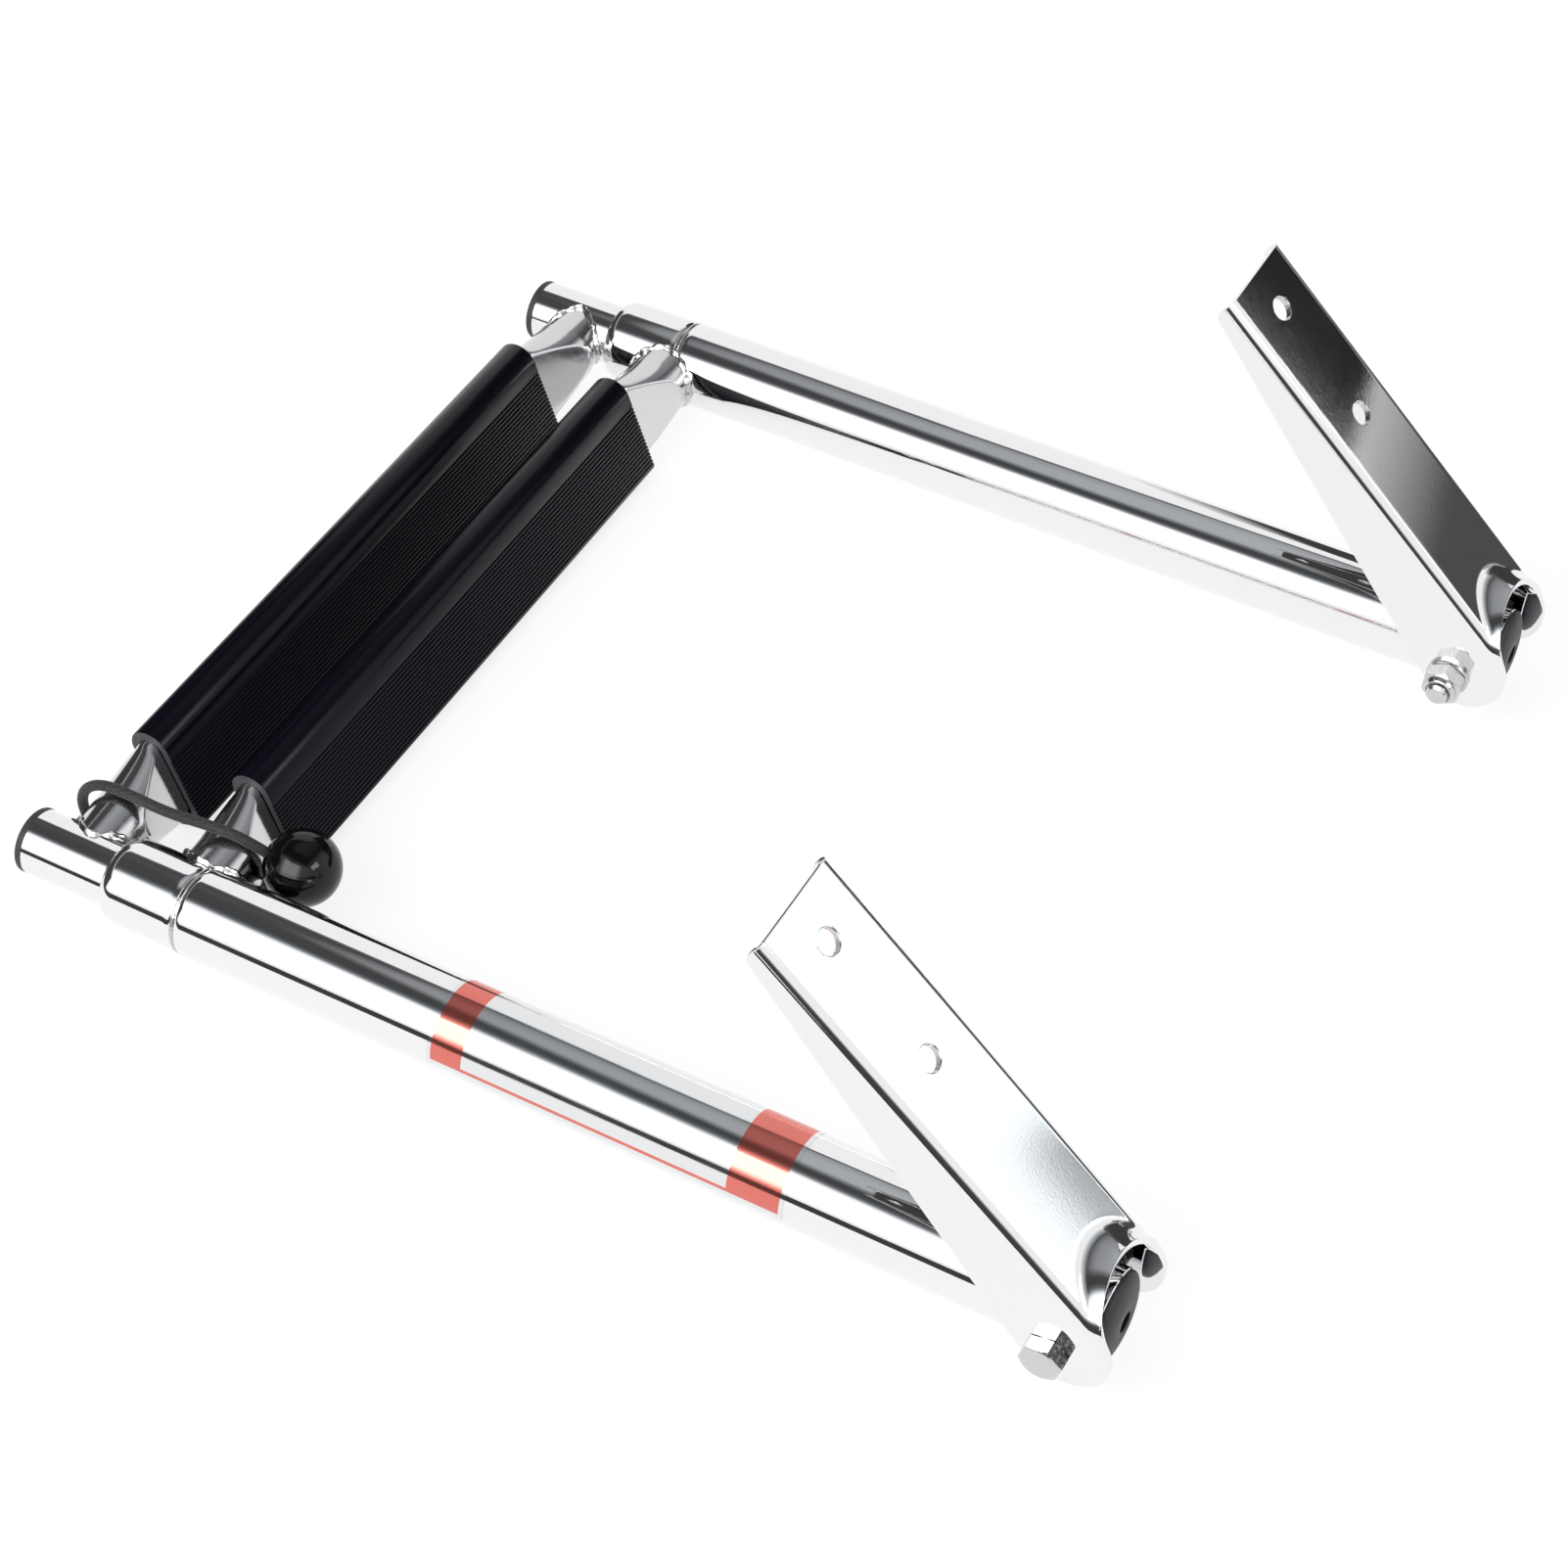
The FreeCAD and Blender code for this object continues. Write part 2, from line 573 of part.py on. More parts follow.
def make_spacers(side, label):
    """Two plastic rings that keep the tube in the middle of the bracket."""
    length = "spacer_thickness"
    rings = []
    for number, hand in enumerate((1, -1)):
        start = side_x(side, f"{hand} * (outer_tube_d / 2 + spacer_gap)")
        rotation = outward_rotation(side * hand)
        ring = cylinder(f"{label}_ring_{number}", "spacer_d", length, rotation, start, PIVOT, AXIS)
        hole = cylinder(f"{label}_hole_{number}", "bolt_d + 2 * bolt_gap", length, rotation, start, PIVOT, AXIS)
        rings.append(cut(f"{label}_{number}", ring, hole))
    pair = doc.addObject("Part::Compound", label)
    pair.Links = rings
    return keep(pair, label)


def make_ball():
    ball = doc.addObject("Part::Sphere", "ball")
    bind(ball, Radius="ball_d / 2")
    place(ball, FreeCAD.Rotation(), "ball_x", from_tip("ball_from_tip"), f"{AXIS} + ball_up")
    return keep(ball, "bungee_ball")


def rounded_route(points):
    """Straight runs joined by tangent arcs, each as large as its two runs allow."""
    edges = []
    start = points[0]
    for before, corner, after in zip(points, points[1:], points[2:]):
        run_in, run_out = corner.sub(before), after.sub(corner)
        half_turn = run_in.getAngle(run_out) / 2
        reach = ARC_SHARE * min(run_in.Length, run_out.Length)
        radius = reach / math.tan(half_turn)
        print(f"cord turn {math.degrees(2 * half_turn):.0f} degrees, radius {radius:.1f} mm")
        way_in, way_out = FreeCAD.Vector(run_in), FreeCAD.Vector(run_out)
        way_in.normalize()
        way_out.normalize()
        arc_start = corner.sub(way_in * reach)
        arc_end = corner.add(way_out * reach)
        bisector = way_out.sub(way_in)
        bisector.normalize()
        middle = corner.add(bisector * (radius / math.cos(half_turn) - radius))
        edges.append(Part.LineSegment(start, arc_start).toShape())
        edges.append(Part.Arc(arc_start, middle, arc_end).toShape())
        start = arc_end
    edges.append(Part.LineSegment(start, points[-1]).toShape())
    return Part.Wire(edges)


def make_cord():
    start = FreeCAD.Vector(value("ball_x"), value(from_tip("0")), value(AXIS))
    points = [start.add(FreeCAD.Vector(*point)) for point in CORD_ROUTE]
    ball = FreeCAD.Vector(value("ball_x"), value(from_tip("ball_from_tip")), value(f"{AXIS} + ball_up"))
    ends = []
    for point in (points[0], points[-1]):
        way = point.sub(ball)
        way.normalize()
        ends.append(ball.add(way * (value("ball_d") / 2)))
    route = rounded_route([ends[0]] + points + [ends[1]])
    start = route.Vertexes[0].Point
    section = Part.Wire(Part.Circle(start, route.Edges[0].tangentAt(route.Edges[0].FirstParameter),
                                    value("cord_d") / 2).toShape())
    cord = doc.addObject("Part::Feature", "cord")
    cord.Shape = route.makePipeShell([section], True, False)
    cord.Placement = FreeCAD.Placement()
    area = math.pi * (value("cord_d") / 2) ** 2
    print(f"cord length {route.Length:.1f} mm, volume {cord.Shape.Volume:.1f} of {area * route.Length:.1f} mm3")
    return keep(cord, "bungee_cord")


for side, name in ((1, "right"), (-1, "left")):
    make_outer_tube(side, f"outer_tube_{name}")
    make_seam_ring(side, f"seam_ring_{name}")
    make_collar(side, f"collar_{name}")
    make_end_plug(side, f"end_plug_{name}")
    make_inner_tube(side, f"inner_tube_{name}")
    make_guide_bush(side, f"guide_bush_{name}")
    make_end_cap(side, f"end_cap_{name}")
    make_bracket(side, f"bracket_{name}")
    make_bolt(side, f"bracket_bolt_{name}")
    make_washer(side, f"washer_{name}")
    make_nut(side, f"lock_nut_{name}")
    make_spacers(side, f"spacers_{name}")
make_rung("upper_rung", "upper_rung_from_tip", "outer_tube_d", "rung_d")
make_rung("lower_rung", "lower_rung_from_tip", "inner_tube_d", "lower_rung_mouth_d")
make_tread("upper_tread", "upper_rung_from_tip")
make_tread("lower_tread", "lower_rung_from_tip")
make_ball()
make_cord()
doc.recompute()

faults = [thing.Name for thing in doc.Objects if "Invalid" in thing.State or "Error" in thing.State]
if faults:
    raise RuntimeError(f"these objects failed: {faults}")
for node in nodes:
    if node.Shape.isNull() or not node.Shape.isValid() or not node.Shape.Solids:
        raise RuntimeError(f"{node.Label} has no valid solid")
os.makedirs("parts", exist_ok=True)
for node in nodes:
    node.Shape.exportStep(f"parts/{node.Label}.step")
    box = node.Shape.BoundBox
    print(f"{node.Label}: {len(node.Shape.Solids)} solids, {node.Shape.Volume:.0f} mm3, "
          f"x {box.XMin:.1f} to {box.XMax:.1f}, y {box.YMin:.1f} to {box.YMax:.1f}, z {box.ZMin:.1f} to {box.ZMax:.1f}")
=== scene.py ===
import math
import random

import bmesh
import bpy
from mathutils import Matrix, Vector


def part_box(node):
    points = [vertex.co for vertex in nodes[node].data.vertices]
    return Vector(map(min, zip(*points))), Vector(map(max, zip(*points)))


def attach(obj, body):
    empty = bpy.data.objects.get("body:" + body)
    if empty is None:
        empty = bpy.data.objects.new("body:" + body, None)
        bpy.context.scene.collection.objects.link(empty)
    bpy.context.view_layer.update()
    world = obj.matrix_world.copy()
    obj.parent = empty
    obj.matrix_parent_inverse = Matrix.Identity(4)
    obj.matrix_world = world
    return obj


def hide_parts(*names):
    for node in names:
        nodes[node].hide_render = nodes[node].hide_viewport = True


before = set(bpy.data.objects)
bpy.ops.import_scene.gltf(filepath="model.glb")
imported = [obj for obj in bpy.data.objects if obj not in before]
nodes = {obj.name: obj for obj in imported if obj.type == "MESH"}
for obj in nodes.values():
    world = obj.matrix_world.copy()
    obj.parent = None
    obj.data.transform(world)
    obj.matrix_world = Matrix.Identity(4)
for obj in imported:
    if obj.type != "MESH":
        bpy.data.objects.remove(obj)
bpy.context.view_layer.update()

# Lengths are in millimetres until a piece is finished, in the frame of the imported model: X across the
# ladder, Y from the closed tips to the brackets and Z up.
MM = 0.001
SIDES = {"right": 1, "left": -1}


def box_mm(node):
    low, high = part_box(node)
    return low / MM, high / MM


tube_low, tube_high = box_mm("outer_tube_right")
inner_low, inner_high = box_mm("inner_tube_right")
washer_low, washer_high = box_mm("washer_right")
SIDE_X = (tube_low.x + tube_high.x) / 2
AXIS_Z = (tube_low.z + tube_high.z) / 2
TUBE_RADIUS = (tube_high.z - tube_low.z) / 2
PIVOT_Y = (washer_low.y + washer_high.y) / 2
TIP_Y = box_mm("end_cap_right")[0].y
INNER_RADIUS = (inner_high.z - inner_low.z) / 2
TUBE_BORE = TUBE_RADIUS - 1.2
BOLT_HOLE_RADIUS = 4.1


# ---------- Camera and stretch cord ----------

CAMERA_PLACE, CAMERA_ANGLES = (0.71924, 0.39555, 0.87115), (43.3866, 0.1659, 118.9572)
CAMERA_LENS, CAMERA_SENSOR, CAMERA_REACH = 77.893, 36, 20


def place_object(name, data):
    """New object of a mesh, curve, lamp or camera, linked to the scene."""
    thing = bpy.data.objects.new(name, data)
    bpy.context.collection.objects.link(thing)
    return thing


def make_camera():
    data = bpy.data.cameras.new("photo_camera")
    data.sensor_width = CAMERA_SENSOR
    data.lens = CAMERA_LENS
    data.clip_end = CAMERA_REACH
    camera = place_object("photo_camera", data)
    camera.location = CAMERA_PLACE
    camera.rotation_euler = [math.radians(angle) for angle in CAMERA_ANGLES]
    bpy.context.scene.camera = camera


# Middle of the stretch cord, as (from the middle of the ladder, from the tip, above the stringer axes).
CORD_ROUTE = [
    (135.2, 79.4, 6.6), (138.8, 72.2, 14.6), (140.8, 60.0, 16.9), (141.2, 42.0, 14.2), (141.6, 26.0, 15.8),
    (141.8, 15.0, 15.4), (142.2, 7.0, 9.6), (142.6, 4.4, 1.0), (142.0, 7.0, -10.5), (139.6, 21.0, -16.9),
    (137.4, 43.5, -16.6), (134.6, 73.0, -15.8), (132.9, 83.5, -3.6),
]
CORD_DIAMETER = 3.8


def make_cord(material):
    data = bpy.data.curves.new("stretch_cord", "CURVE")
    data.dimensions = "3D"
    data.bevel_depth = CORD_DIAMETER / 2 * MM
    data.bevel_resolution = 6
    data.resolution_u = 16
    data.use_fill_caps = True
    spline = data.splines.new("NURBS")
    spline.points.add(len(CORD_ROUTE) - 1)
    for point, (x, along, up) in zip(spline.points, CORD_ROUTE):
        point.co = (x * MM, (TIP_Y + along) * MM, (AXIS_Z + up) * MM, 1)
    spline.order_u = 3
    spline.use_endpoint_u = True
    cord = place_object("stretch_cord", data)
    data.materials.append(material)
    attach(cord, "outer_frame")
    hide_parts("bungee_cord")
    return cord


# ---------- Studio ----------

def add_node(name, kind, tree, x=0, y=0, **settings):
    """Add a shader node; a setting is one of its properties or the value of an input of that name."""
    node = tree.nodes.new(kind if kind.startswith("NodeGroup") else f"ShaderNode{kind}")
    node.name = name
    node.location = (x, y)
    for key, value in settings.items():
        if hasattr(node, key):
            setattr(node, key, value)
        else:
            node.inputs[key.replace("_", " ")].default_value = value
    return node


def wire(tree, *links):
    """Link shader nodes, each link as (node, its output, next node, its input)."""
    for source, leaving, target, entering in links:
        tree.links.new(source.outputs[leaving], target.inputs[entering])


def bare_tree(owner):
    """Empty node tree of a new material or world."""
    owner.use_nodes = True
    owner.node_tree.nodes.clear()
    return owner.node_tree


def stage_object(name, bm, material):
    thing = as_object(name, bm)
    thing.data.materials.append(material)
    return thing


def make_card(name, rows, tint=(1, 1, 1)):
    """Card that only mirrors see, from rows of (x, y, z, brightness) in metres, smooth between them."""
    bm = bmesh.new()
    across, up = len(rows[0]) - 1, len(rows) - 1
    bmesh.ops.create_grid(bm, x_segments=across, y_segments=up, size=0.5)
    layer = bm.verts.layers.float.new("brightness")
    for vert in bm.verts:
        x, y, z, brightness = rows[round((vert.co.y + 0.5) * up)][round((vert.co.x + 0.5) * across)]
        vert.co = (x, y, z)
        vert[layer] = brightness
    material = bpy.data.materials.new(name)
    tree = bare_tree(material)
    shade = add_node("brightness", "Attribute", tree, -200, attribute_name="brightness")
    glow = add_node("glow", "Emission", tree, Color=(*tint, 1))
    output = add_node("output", "OutputMaterial", tree, 200)
    wire(tree, (shade, "Fac", glow, "Strength"), (glow, "Emission", output, "Surface"))
    card = stage_object(name, bm, material)
    card.visible_camera = False
    card.visible_diffuse = False
    card.visible_shadow = False
    card.visible_transmission = False


CEILING_Z, WALL_GLOW, WINDOW_GLOW = 1.6, 1.3, 6.0
CARD_FLOOR = 0.004


def ceiling_row(y, edge, middle, far, grey, dark):
    """Brightness across the ceiling at one Y: white, a dark line, grey, a dark part and white again."""
    line = edge + 0.16
    levels = [(edge - 0.08, 1.0), (edge + 0.02, min(0.14, dark * 2)), (line - 0.02, min(0.14, dark * 2)),
              (line + 0.08, grey * 0.75), ((line + middle) / 2, grey), (middle - 0.14, grey),
              (middle + 0.06, dark + (grey - dark) * 0.3), (middle + 0.2, dark), (far - 0.3, dark),
              (far - 0.12, dark + 0.08), (far, 0.4), (far + 0.12, 1.0), (far + 0.3, 1.3)]
    return [(x, y, CEILING_Z, brightness) for x, brightness in levels]


def make_cards():
    """Walls, windows and dark edges round the ladder that the polished steel reflects."""
    make_card("ceiling", [ceiling_row(*row) for row in (
        (1.6, -2.65, 0.17, 0.9, 1.0, 1.0), (0.9, -2.65, 0.17, 0.9, 0.1, 0.06),
        (0.45, -2.65, 0.17, 0.9, 0.3, 0.06), (-0.05, -2.65, 0.17, 0.9, 0.38, 0.065),
        (-0.235, -1.74, 0.17, 0.9, 0.48, 0.065), (-0.288, -1.59, 0.16, 0.93, 0.48, 0.065),
        (-0.417, -1.31, 0.2, 0.9, 0.46, 0.065), (-0.646, -1.02, 0.115, 0.84, 0.4, 0.065),
        (-0.832, -1.116, -0.1, 0.8, 0.3, 0.065), (-0.96, -1.116, -0.3, 0.76, 0.08, 0.065),
        (-3.5, -1.0, -0.3, 0.76, 0.08, 0.065))], (0.94, 0.97, 1.0))
    make_card("white_wall", [[(x, y, z, glow if -1.5 < y < 0.5 else WALL_GLOW)
                              for y in (-4, -1.8, -1.2, 0.4, 1.0, 2.5)]
                             for x, z, glow in ((2.6, 0.62, 2.0), (2.25, 1.0, WINDOW_GLOW),
                                                (1.2, 2.2, WINDOW_GLOW))])
    make_card("dark_slot", [[(0.48, y, z, 0.05) for y in (-2, 1)] for z in (0.0, 0.07)])
    near = [(0.3, -1.27, 0.45, 0.3), (0.68, -1.42, 0.45, 0.2), (0.72, -1.445, 0.42, 0.14),
            (0.75, -1.46, 0.48, 0.09), (0.78, -1.475, 0.75, 0.05), (0.81, -1.49, 1.3, 0.04),
            (1.35, -1.77, 1.3, 0.04)]
    make_card("near_end_wall", [[(x - offset, 2.5, z, WALL_GLOW + (grey - WALL_GLOW) * share)
                                 for offset, share in ((-0.6, 0), (-0.03, 0), (0.005, 0.1), (0.025, 0.9),
                                                       (reach, 1), (reach + 0.03, 0.4),
                                                       (reach + 0.1, 0.05), (reach + 0.4, 0))]
                                for z, x, grey, reach in near], (0.93, 0.98, 1.0))
    make_card("dark_horizon", [[(1.0, 2.4, z, level), (2.6, 0.5, z, level)] for z, level in
                               ((0.0, 0.06), (0.5, 0.06), (0.68, 0.4), (0.85, 1.0))])
    make_card("dark_side_wall", [[(-2.6, 1.9, z, 0.6), (-2.6, 1.5, z, level), (-2.6, -0.5, z, level),
                                  (-2.6, -0.66, z, 0.9)]
                                 for z, level in ((0.0, 0.06), (0.3, 0.05), (1.3, 0.05), (1.6, 0.1))])
    make_card("dark_tip_wall", [[(-1.7, -1.95, z, 0.9), (-1.4, -1.95, z, level), (1.5, -1.95, z, level),
                                 (1.8, -1.95, z, 0.9)]
                                for z, level in ((0.0, 0.06), (1.2, 0.05), (1.4, 0.3), (1.55, 0.9))])
    make_card("dark_corner_floor", [[(0.52, 0.3, CARD_FLOOR, 0.06), (2.6, 0.5, CARD_FLOOR, 0.06)],
                                    [(0.4, 1.2, CARD_FLOOR, 0.06), (1.0, 2.4, CARD_FLOOR, 0.06)]])
    strip = [(-2.2, 0.36), (-1.2, 0.36), (-0.8, 0.3), (-0.5, 0.23), (-0.3, 0.17)]
    make_card("low_dark_strip", [[(x, 0.24, CARD_FLOOR, 0.08) for x, top in strip],
                                 [(x, 0.67, CARD_FLOOR, 0.08) for x, top in strip],
                                 [(x, 0.67, top - 0.06, 0.08) for x, top in strip],
                                 [(x, 0.67, top, 0.6) for x, top in strip]])
    make_card("second_window", [[(-0.25, low_y, z, WINDOW_GLOW), (0.75, low_y - 0.2, z, WINDOW_GLOW)]
                                for low_y, z in ((2.2, 1.25), (1.6, 2.1))])
    far = [(0.3, -2.53, 0.3), (0.55, -2.63, 0.05), (0.68, -2.68, 0.03), (0.73, -2.7, 0.022),
           (0.81, -2.78, 0.02), (1.0, -2.92, 0.02), (1.35, -3.2, 0.02)]
    make_card("far_end_wall", [[(x + offset, 2.5, z, WALL_GLOW + (dark - WALL_GLOW) * share)
                                for offset, share in ((0.3, 0), (0.13, 0), (0.09, 0.9), (0.0, 1),
                                                      (-0.5, 1), (-1.3, 1))]
                               for z, x, dark in far])


def make_floor():
    bm = bmesh.new()
    bmesh.ops.create_grid(bm, x_segments=1, y_segments=1, size=12)
    material = bpy.data.materials.new("white_floor")
    tree = bare_tree(material)
    paths = add_node("ray_kind", "LightPath", tree, -600)
    seen = add_node("seen_directly", "Math", tree, -400, operation="MAXIMUM")
    wire(tree, (paths, "Is Camera Ray", seen, 0), (paths, "Is Glossy Ray", seen, 1))
    lit = add_node("lit_floor", "BsdfDiffuse", tree, -200, -100, Color=(0.8, 0.8, 0.8, 1))
    shaded = add_node("shadow_part", "BsdfDiffuse", tree, -400, 300, Color=(0.3, 0.3, 0.3, 1))
    glow = add_node("white_part", "Emission", tree, -400, 150, Color=(1, 1, 1, 1), Strength=0.8)
    white = add_node("white_floor", "AddShader", tree, -200, 200)
    wire(tree, (shaded, "BSDF", white, 0), (glow, "Emission", white, 1))
    mix = add_node("mix", "MixShader", tree, 0)
    output = add_node("output", "OutputMaterial", tree, 200)
    wire(tree, (seen, "Value", mix, "Fac"), (lit, "BSDF", mix, 1), (white, "Shader", mix, 2),
         (mix, "Shader", output, "Surface"))
    stage_object("floor", bm, material)


def make_world():
    world = bpy.data.worlds.new("studio")
    tree = bare_tree(world)
    paths = add_node("ray_kind", "LightPath", tree, -600)
    mirrored = add_node("camera_or_mirror", "Math", tree, -400, operation="MAXIMUM")
    through = add_node("or_glass", "Math", tree, -200, operation="MAXIMUM")
    wire(tree, (paths, "Is Camera Ray", mirrored, 0), (paths, "Is Glossy Ray", mirrored, 1),
         (mirrored, "Value", through, 0), (paths, "Is Transmission Ray", through, 1))
    light = add_node("room_light", "Background", tree, 0, 0, Color=(1, 1, 1, 1), Strength=0.62)
    white = add_node("white_room", "Background", tree, 0, -150, Color=(1, 1, 1, 1), Strength=1.0)
    mix = add_node("mix", "MixShader", tree, 200)
    output = add_node("output", "OutputWorld", tree, 400)
    wire(tree, (through, "Value", mix, "Fac"), (light, "Background", mix, 1), (white, "Background", mix, 2),
         (mix, "Shader", output, "Surface"))
    bpy.context.scene.world = world


def make_lamp(name, location, target, size, power):
    data = bpy.data.lights.new(name, "AREA")
    data.shape = "RECTANGLE"
    data.size, data.size_y = size
    data.energy = power
    lamp = place_object(name, data)
    lamp.location = location
    lamp.rotation_euler = (Vector(target) - Vector(location)).to_track_quat("-Z", "Y").to_euler()
    lamp.visible_glossy = False


# ---------- Materials ----------

def new_group(name, inputs, outputs):
    """Empty node group with float inputs given as {name: value} and outputs as {name: kind}."""
    group = bpy.data.node_groups.new(name, "ShaderNodeTree")
    for label, value in inputs.items():
        socket = group.interface.new_socket(label, in_out="INPUT", socket_type="NodeSocketFloat")
        socket.default_value = value
    for label, kind in outputs.items():
        group.interface.new_socket(label, in_out="OUTPUT", socket_type=kind)
    entry = add_node("entry", "NodeGroupInput", group, -1000)
    leave = add_node("exit", "NodeGroupOutput", group, 900)
    return group, entry, leave


def make_handling_group():
    """Marks of handling on metal: fine hairlines and soft smudges, as a roughness and a normal."""
    group, entry, leave = new_group("handling_marks", {"Smoothest": 0.03, "Roughest": 0.08, "Relief": 0.02},
                                    {"Roughness": "NodeSocketFloat", "Normal": "NodeSocketVector"})
    place = add_node("place", "TexCoord", group, -1000, -300)
    stretch = add_node("hairline_stretch", "Mapping", group, -800, -300, Rotation=(0.35, 0.2, 0.6),
                       Scale=(900, 60, 900))
    hairs = add_node("hairlines", "TexNoise", group, -600, -300, Scale=1.0, Detail=2.0,
                     Roughness=0.6)
    smudges = add_node("smudges", "TexNoise", group, -600, 0, Scale=28.0, Detail=3.0,
                       Roughness=0.55)
    both = add_node("both", "Math", group, -400, -100, operation="MULTIPLY")
    spread = add_node("spread", "MapRange", group, -100, 100, From_Min=0.12, From_Max=0.42)
    bump = add_node("relief", "Bump", group, 200, -200, Distance=0.0001)
    wire(group, (place, "Object", stretch, "Vector"), (stretch, "Vector", hairs, "Vector"),
         (place, "Object", smudges, "Vector"), (hairs, "Fac", both, 0), (smudges, "Fac", both, 1),
         (both, "Value", spread, "Value"), (entry, "Smoothest", spread, "To Min"),
         (entry, "Roughest", spread, "To Max"), (spread, "Result", leave, "Roughness"),
         (hairs, "Fac", bump, "Height"), (entry, "Relief", bump, "Strength"),
         (bump, "Normal", leave, "Normal"))
    return group


def make_grain_group():
    """Even grain of rubber or plastic: a fine pebbled height and a slow drift of shade."""
    group, entry, leave = new_group("moulded_grain", {"Grain Size": 900.0, "Relief": 0.1},
                                    {"Shade": "NodeSocketFloat", "Normal": "NodeSocketVector"})
    place = add_node("place", "TexCoord", group, -1000, -300)
    grain = add_node("pebbles", "TexNoise", group, -600, -300, Detail=3.0, Roughness=0.6)
    drift = add_node("drift", "TexNoise", group, -600, 100, Scale=35.0, Detail=4.0, Roughness=0.6)
    shade = add_node("shade", "MapRange", group, -200, 100, From_Min=0.3, From_Max=0.7)
    bump = add_node("relief", "Bump", group, 200, -200, Distance=0.0002)
    wire(group, (place, "Object", grain, "Vector"), (entry, "Grain Size", grain, "Scale"),
         (place, "Object", drift, "Vector"), (drift, "Fac", shade, "Value"),
         (shade, "Result", leave, "Shade"), (grain, "Fac", bump, "Height"),
         (entry, "Relief", bump, "Strength"), (bump, "Normal", leave, "Normal"))
    return group


def new_material(name, colour, metallic, roughness, **sockets):
    material = bpy.data.materials.new(name)
    material.use_nodes = True
    shader = material.node_tree.nodes["Principled BSDF"]
    shader.inputs["Base Color"].default_value = (*colour, 1)
    shader.inputs["Metallic"].default_value = metallic
    shader.inputs["Roughness"].default_value = roughness
    for key, value in sockets.items():
        shader.inputs[key.replace("_", " ")].default_value = value
    return material, material.node_tree, shader


def add_group(group, tree, x, y, **values):
    node = add_node(group.name, "Group", tree, x, y, node_tree=group)
    for label, value in values.items():
        node.inputs[label.replace("_", " ")].default_value = value
    return node


def shade_between(tree, shader, factor, dark, light):
    """Let the base colour drift between two colours by a factor."""
    mix = add_node("colour_drift", "Mix", tree, -250, 200, data_type="RGBA")
    colour_inputs = [socket for socket in mix.inputs if socket.type == "RGBA"]
    colour_inputs[0].default_value = (*dark, 1)
    colour_inputs[1].default_value = (*light, 1)
    tree.links.new(factor, mix.inputs["Factor"])
    colour = next(socket for socket in mix.outputs if socket.type == "RGBA")
    tree.links.new(colour, shader.inputs["Base Color"])


def polished_steel(name, colour, smoothest, roughest, relief, metallic=1.0):
    material, tree, shader = new_material(name, colour, metallic, smoothest)
    marks = add_group(HANDLING, tree, -500, 0, Smoothest=smoothest, Roughest=roughest, Relief=relief)
    wire(tree, (marks, "Roughness", shader, "Roughness"), (marks, "Normal", shader, "Normal"))
    return material


# ---------- Shaping helpers ----------

def spun(profile, closed=False, segments=96):
    """Turn a profile of (radius, length along the axis) about the Z axis."""
    bm = bmesh.new()
    ring = [bm.verts.new((radius, 0, length)) for radius, length in profile]
    pairs = list(zip(ring, ring[1:])) + ([(ring[-1], ring[0])] if closed else [])
    edges = [bm.edges.new(pair) for pair in pairs]
    bmesh.ops.spin(bm, geom=ring + edges, cent=(0, 0, 0), axis=(0, 0, 1), angle=2 * math.pi, steps=segments,
                   use_merge=True)
    bmesh.ops.remove_doubles(bm, verts=bm.verts, dist=0.001)
    bmesh.ops.recalc_face_normals(bm, faces=bm.faces)
    return bm


def round_edges(bm, width, angle=30, segments=3):
    """Round every edge that turns more than an angle."""
    limit = math.radians(angle)
    sharp = [edge for edge in bm.edges if len(edge.link_faces) == 2 and edge.calc_face_angle() > limit]
    bmesh.ops.bevel(bm, geom=sharp, offset=width, affect="EDGES", segments=segments, profile=0.5, material=-1,
                    clamp_overlap=True)
    return bm


def as_object(name, bm, scale=1.0):
    """Mesh object of a bmesh, which is used up."""
    mesh = bpy.data.meshes.new(name)
    bmesh.ops.scale(bm, vec=(scale,) * 3, verts=bm.verts)
    bm.to_mesh(mesh)
    bm.free()
    return place_object(name, mesh)


def settled(thing):
    """Bmesh of an object with its modifiers applied; the object is removed."""
    graph = bpy.context.evaluated_depsgraph_get()
    bm = bmesh.new()
    bm.from_mesh(thing.evaluated_get(graph).to_mesh())
    thing.evaluated_get(graph).to_mesh_clear()
    bpy.data.objects.remove(thing)
    return bm


def combined(base, tool, operation):
    """One solid cut from, joined to or kept within another."""
    base_object, tool_object = as_object("blank", base), as_object("tool", tool)
    modifier = base_object.modifiers.new("combine", "BOOLEAN")
    modifier.operation = operation
    modifier.solver = "EXACT"
    modifier.object = tool_object
    result = settled(base_object)
    bpy.data.objects.remove(tool_object)
    return result


def add_solid(bm, extra):
    """Add the mesh of another bmesh, which is used up."""
    mesh = bpy.data.meshes.new("extra")
    extra.to_mesh(mesh)
    extra.free()
    bm.from_mesh(mesh)
    bpy.data.meshes.remove(mesh)


def extended(bm, edges):
    """Extrude a row of edges in place: the new vertices and the new edges."""
    made = bmesh.ops.extrude_edge_only(bm, edges=edges)["geom"]
    return ([item for item in made if isinstance(item, bmesh.types.BMVert)],
            [item for item in made if isinstance(item, bmesh.types.BMEdge)])


def rounding(radius, depth, reach, end=90, steps=9):
    """Profile points that rise by a depth to a radius over a reach along the axis."""
    turns = [math.radians(end * step / steps) for step in range(steps + 1)]
    return [(radius - depth + depth * math.sin(turn), reach - reach * math.cos(turn)) for turn in turns]


UPRIGHT = Matrix.Identity(4)
ALONG_Y = Matrix.Rotation(math.radians(-90), 4, "X")


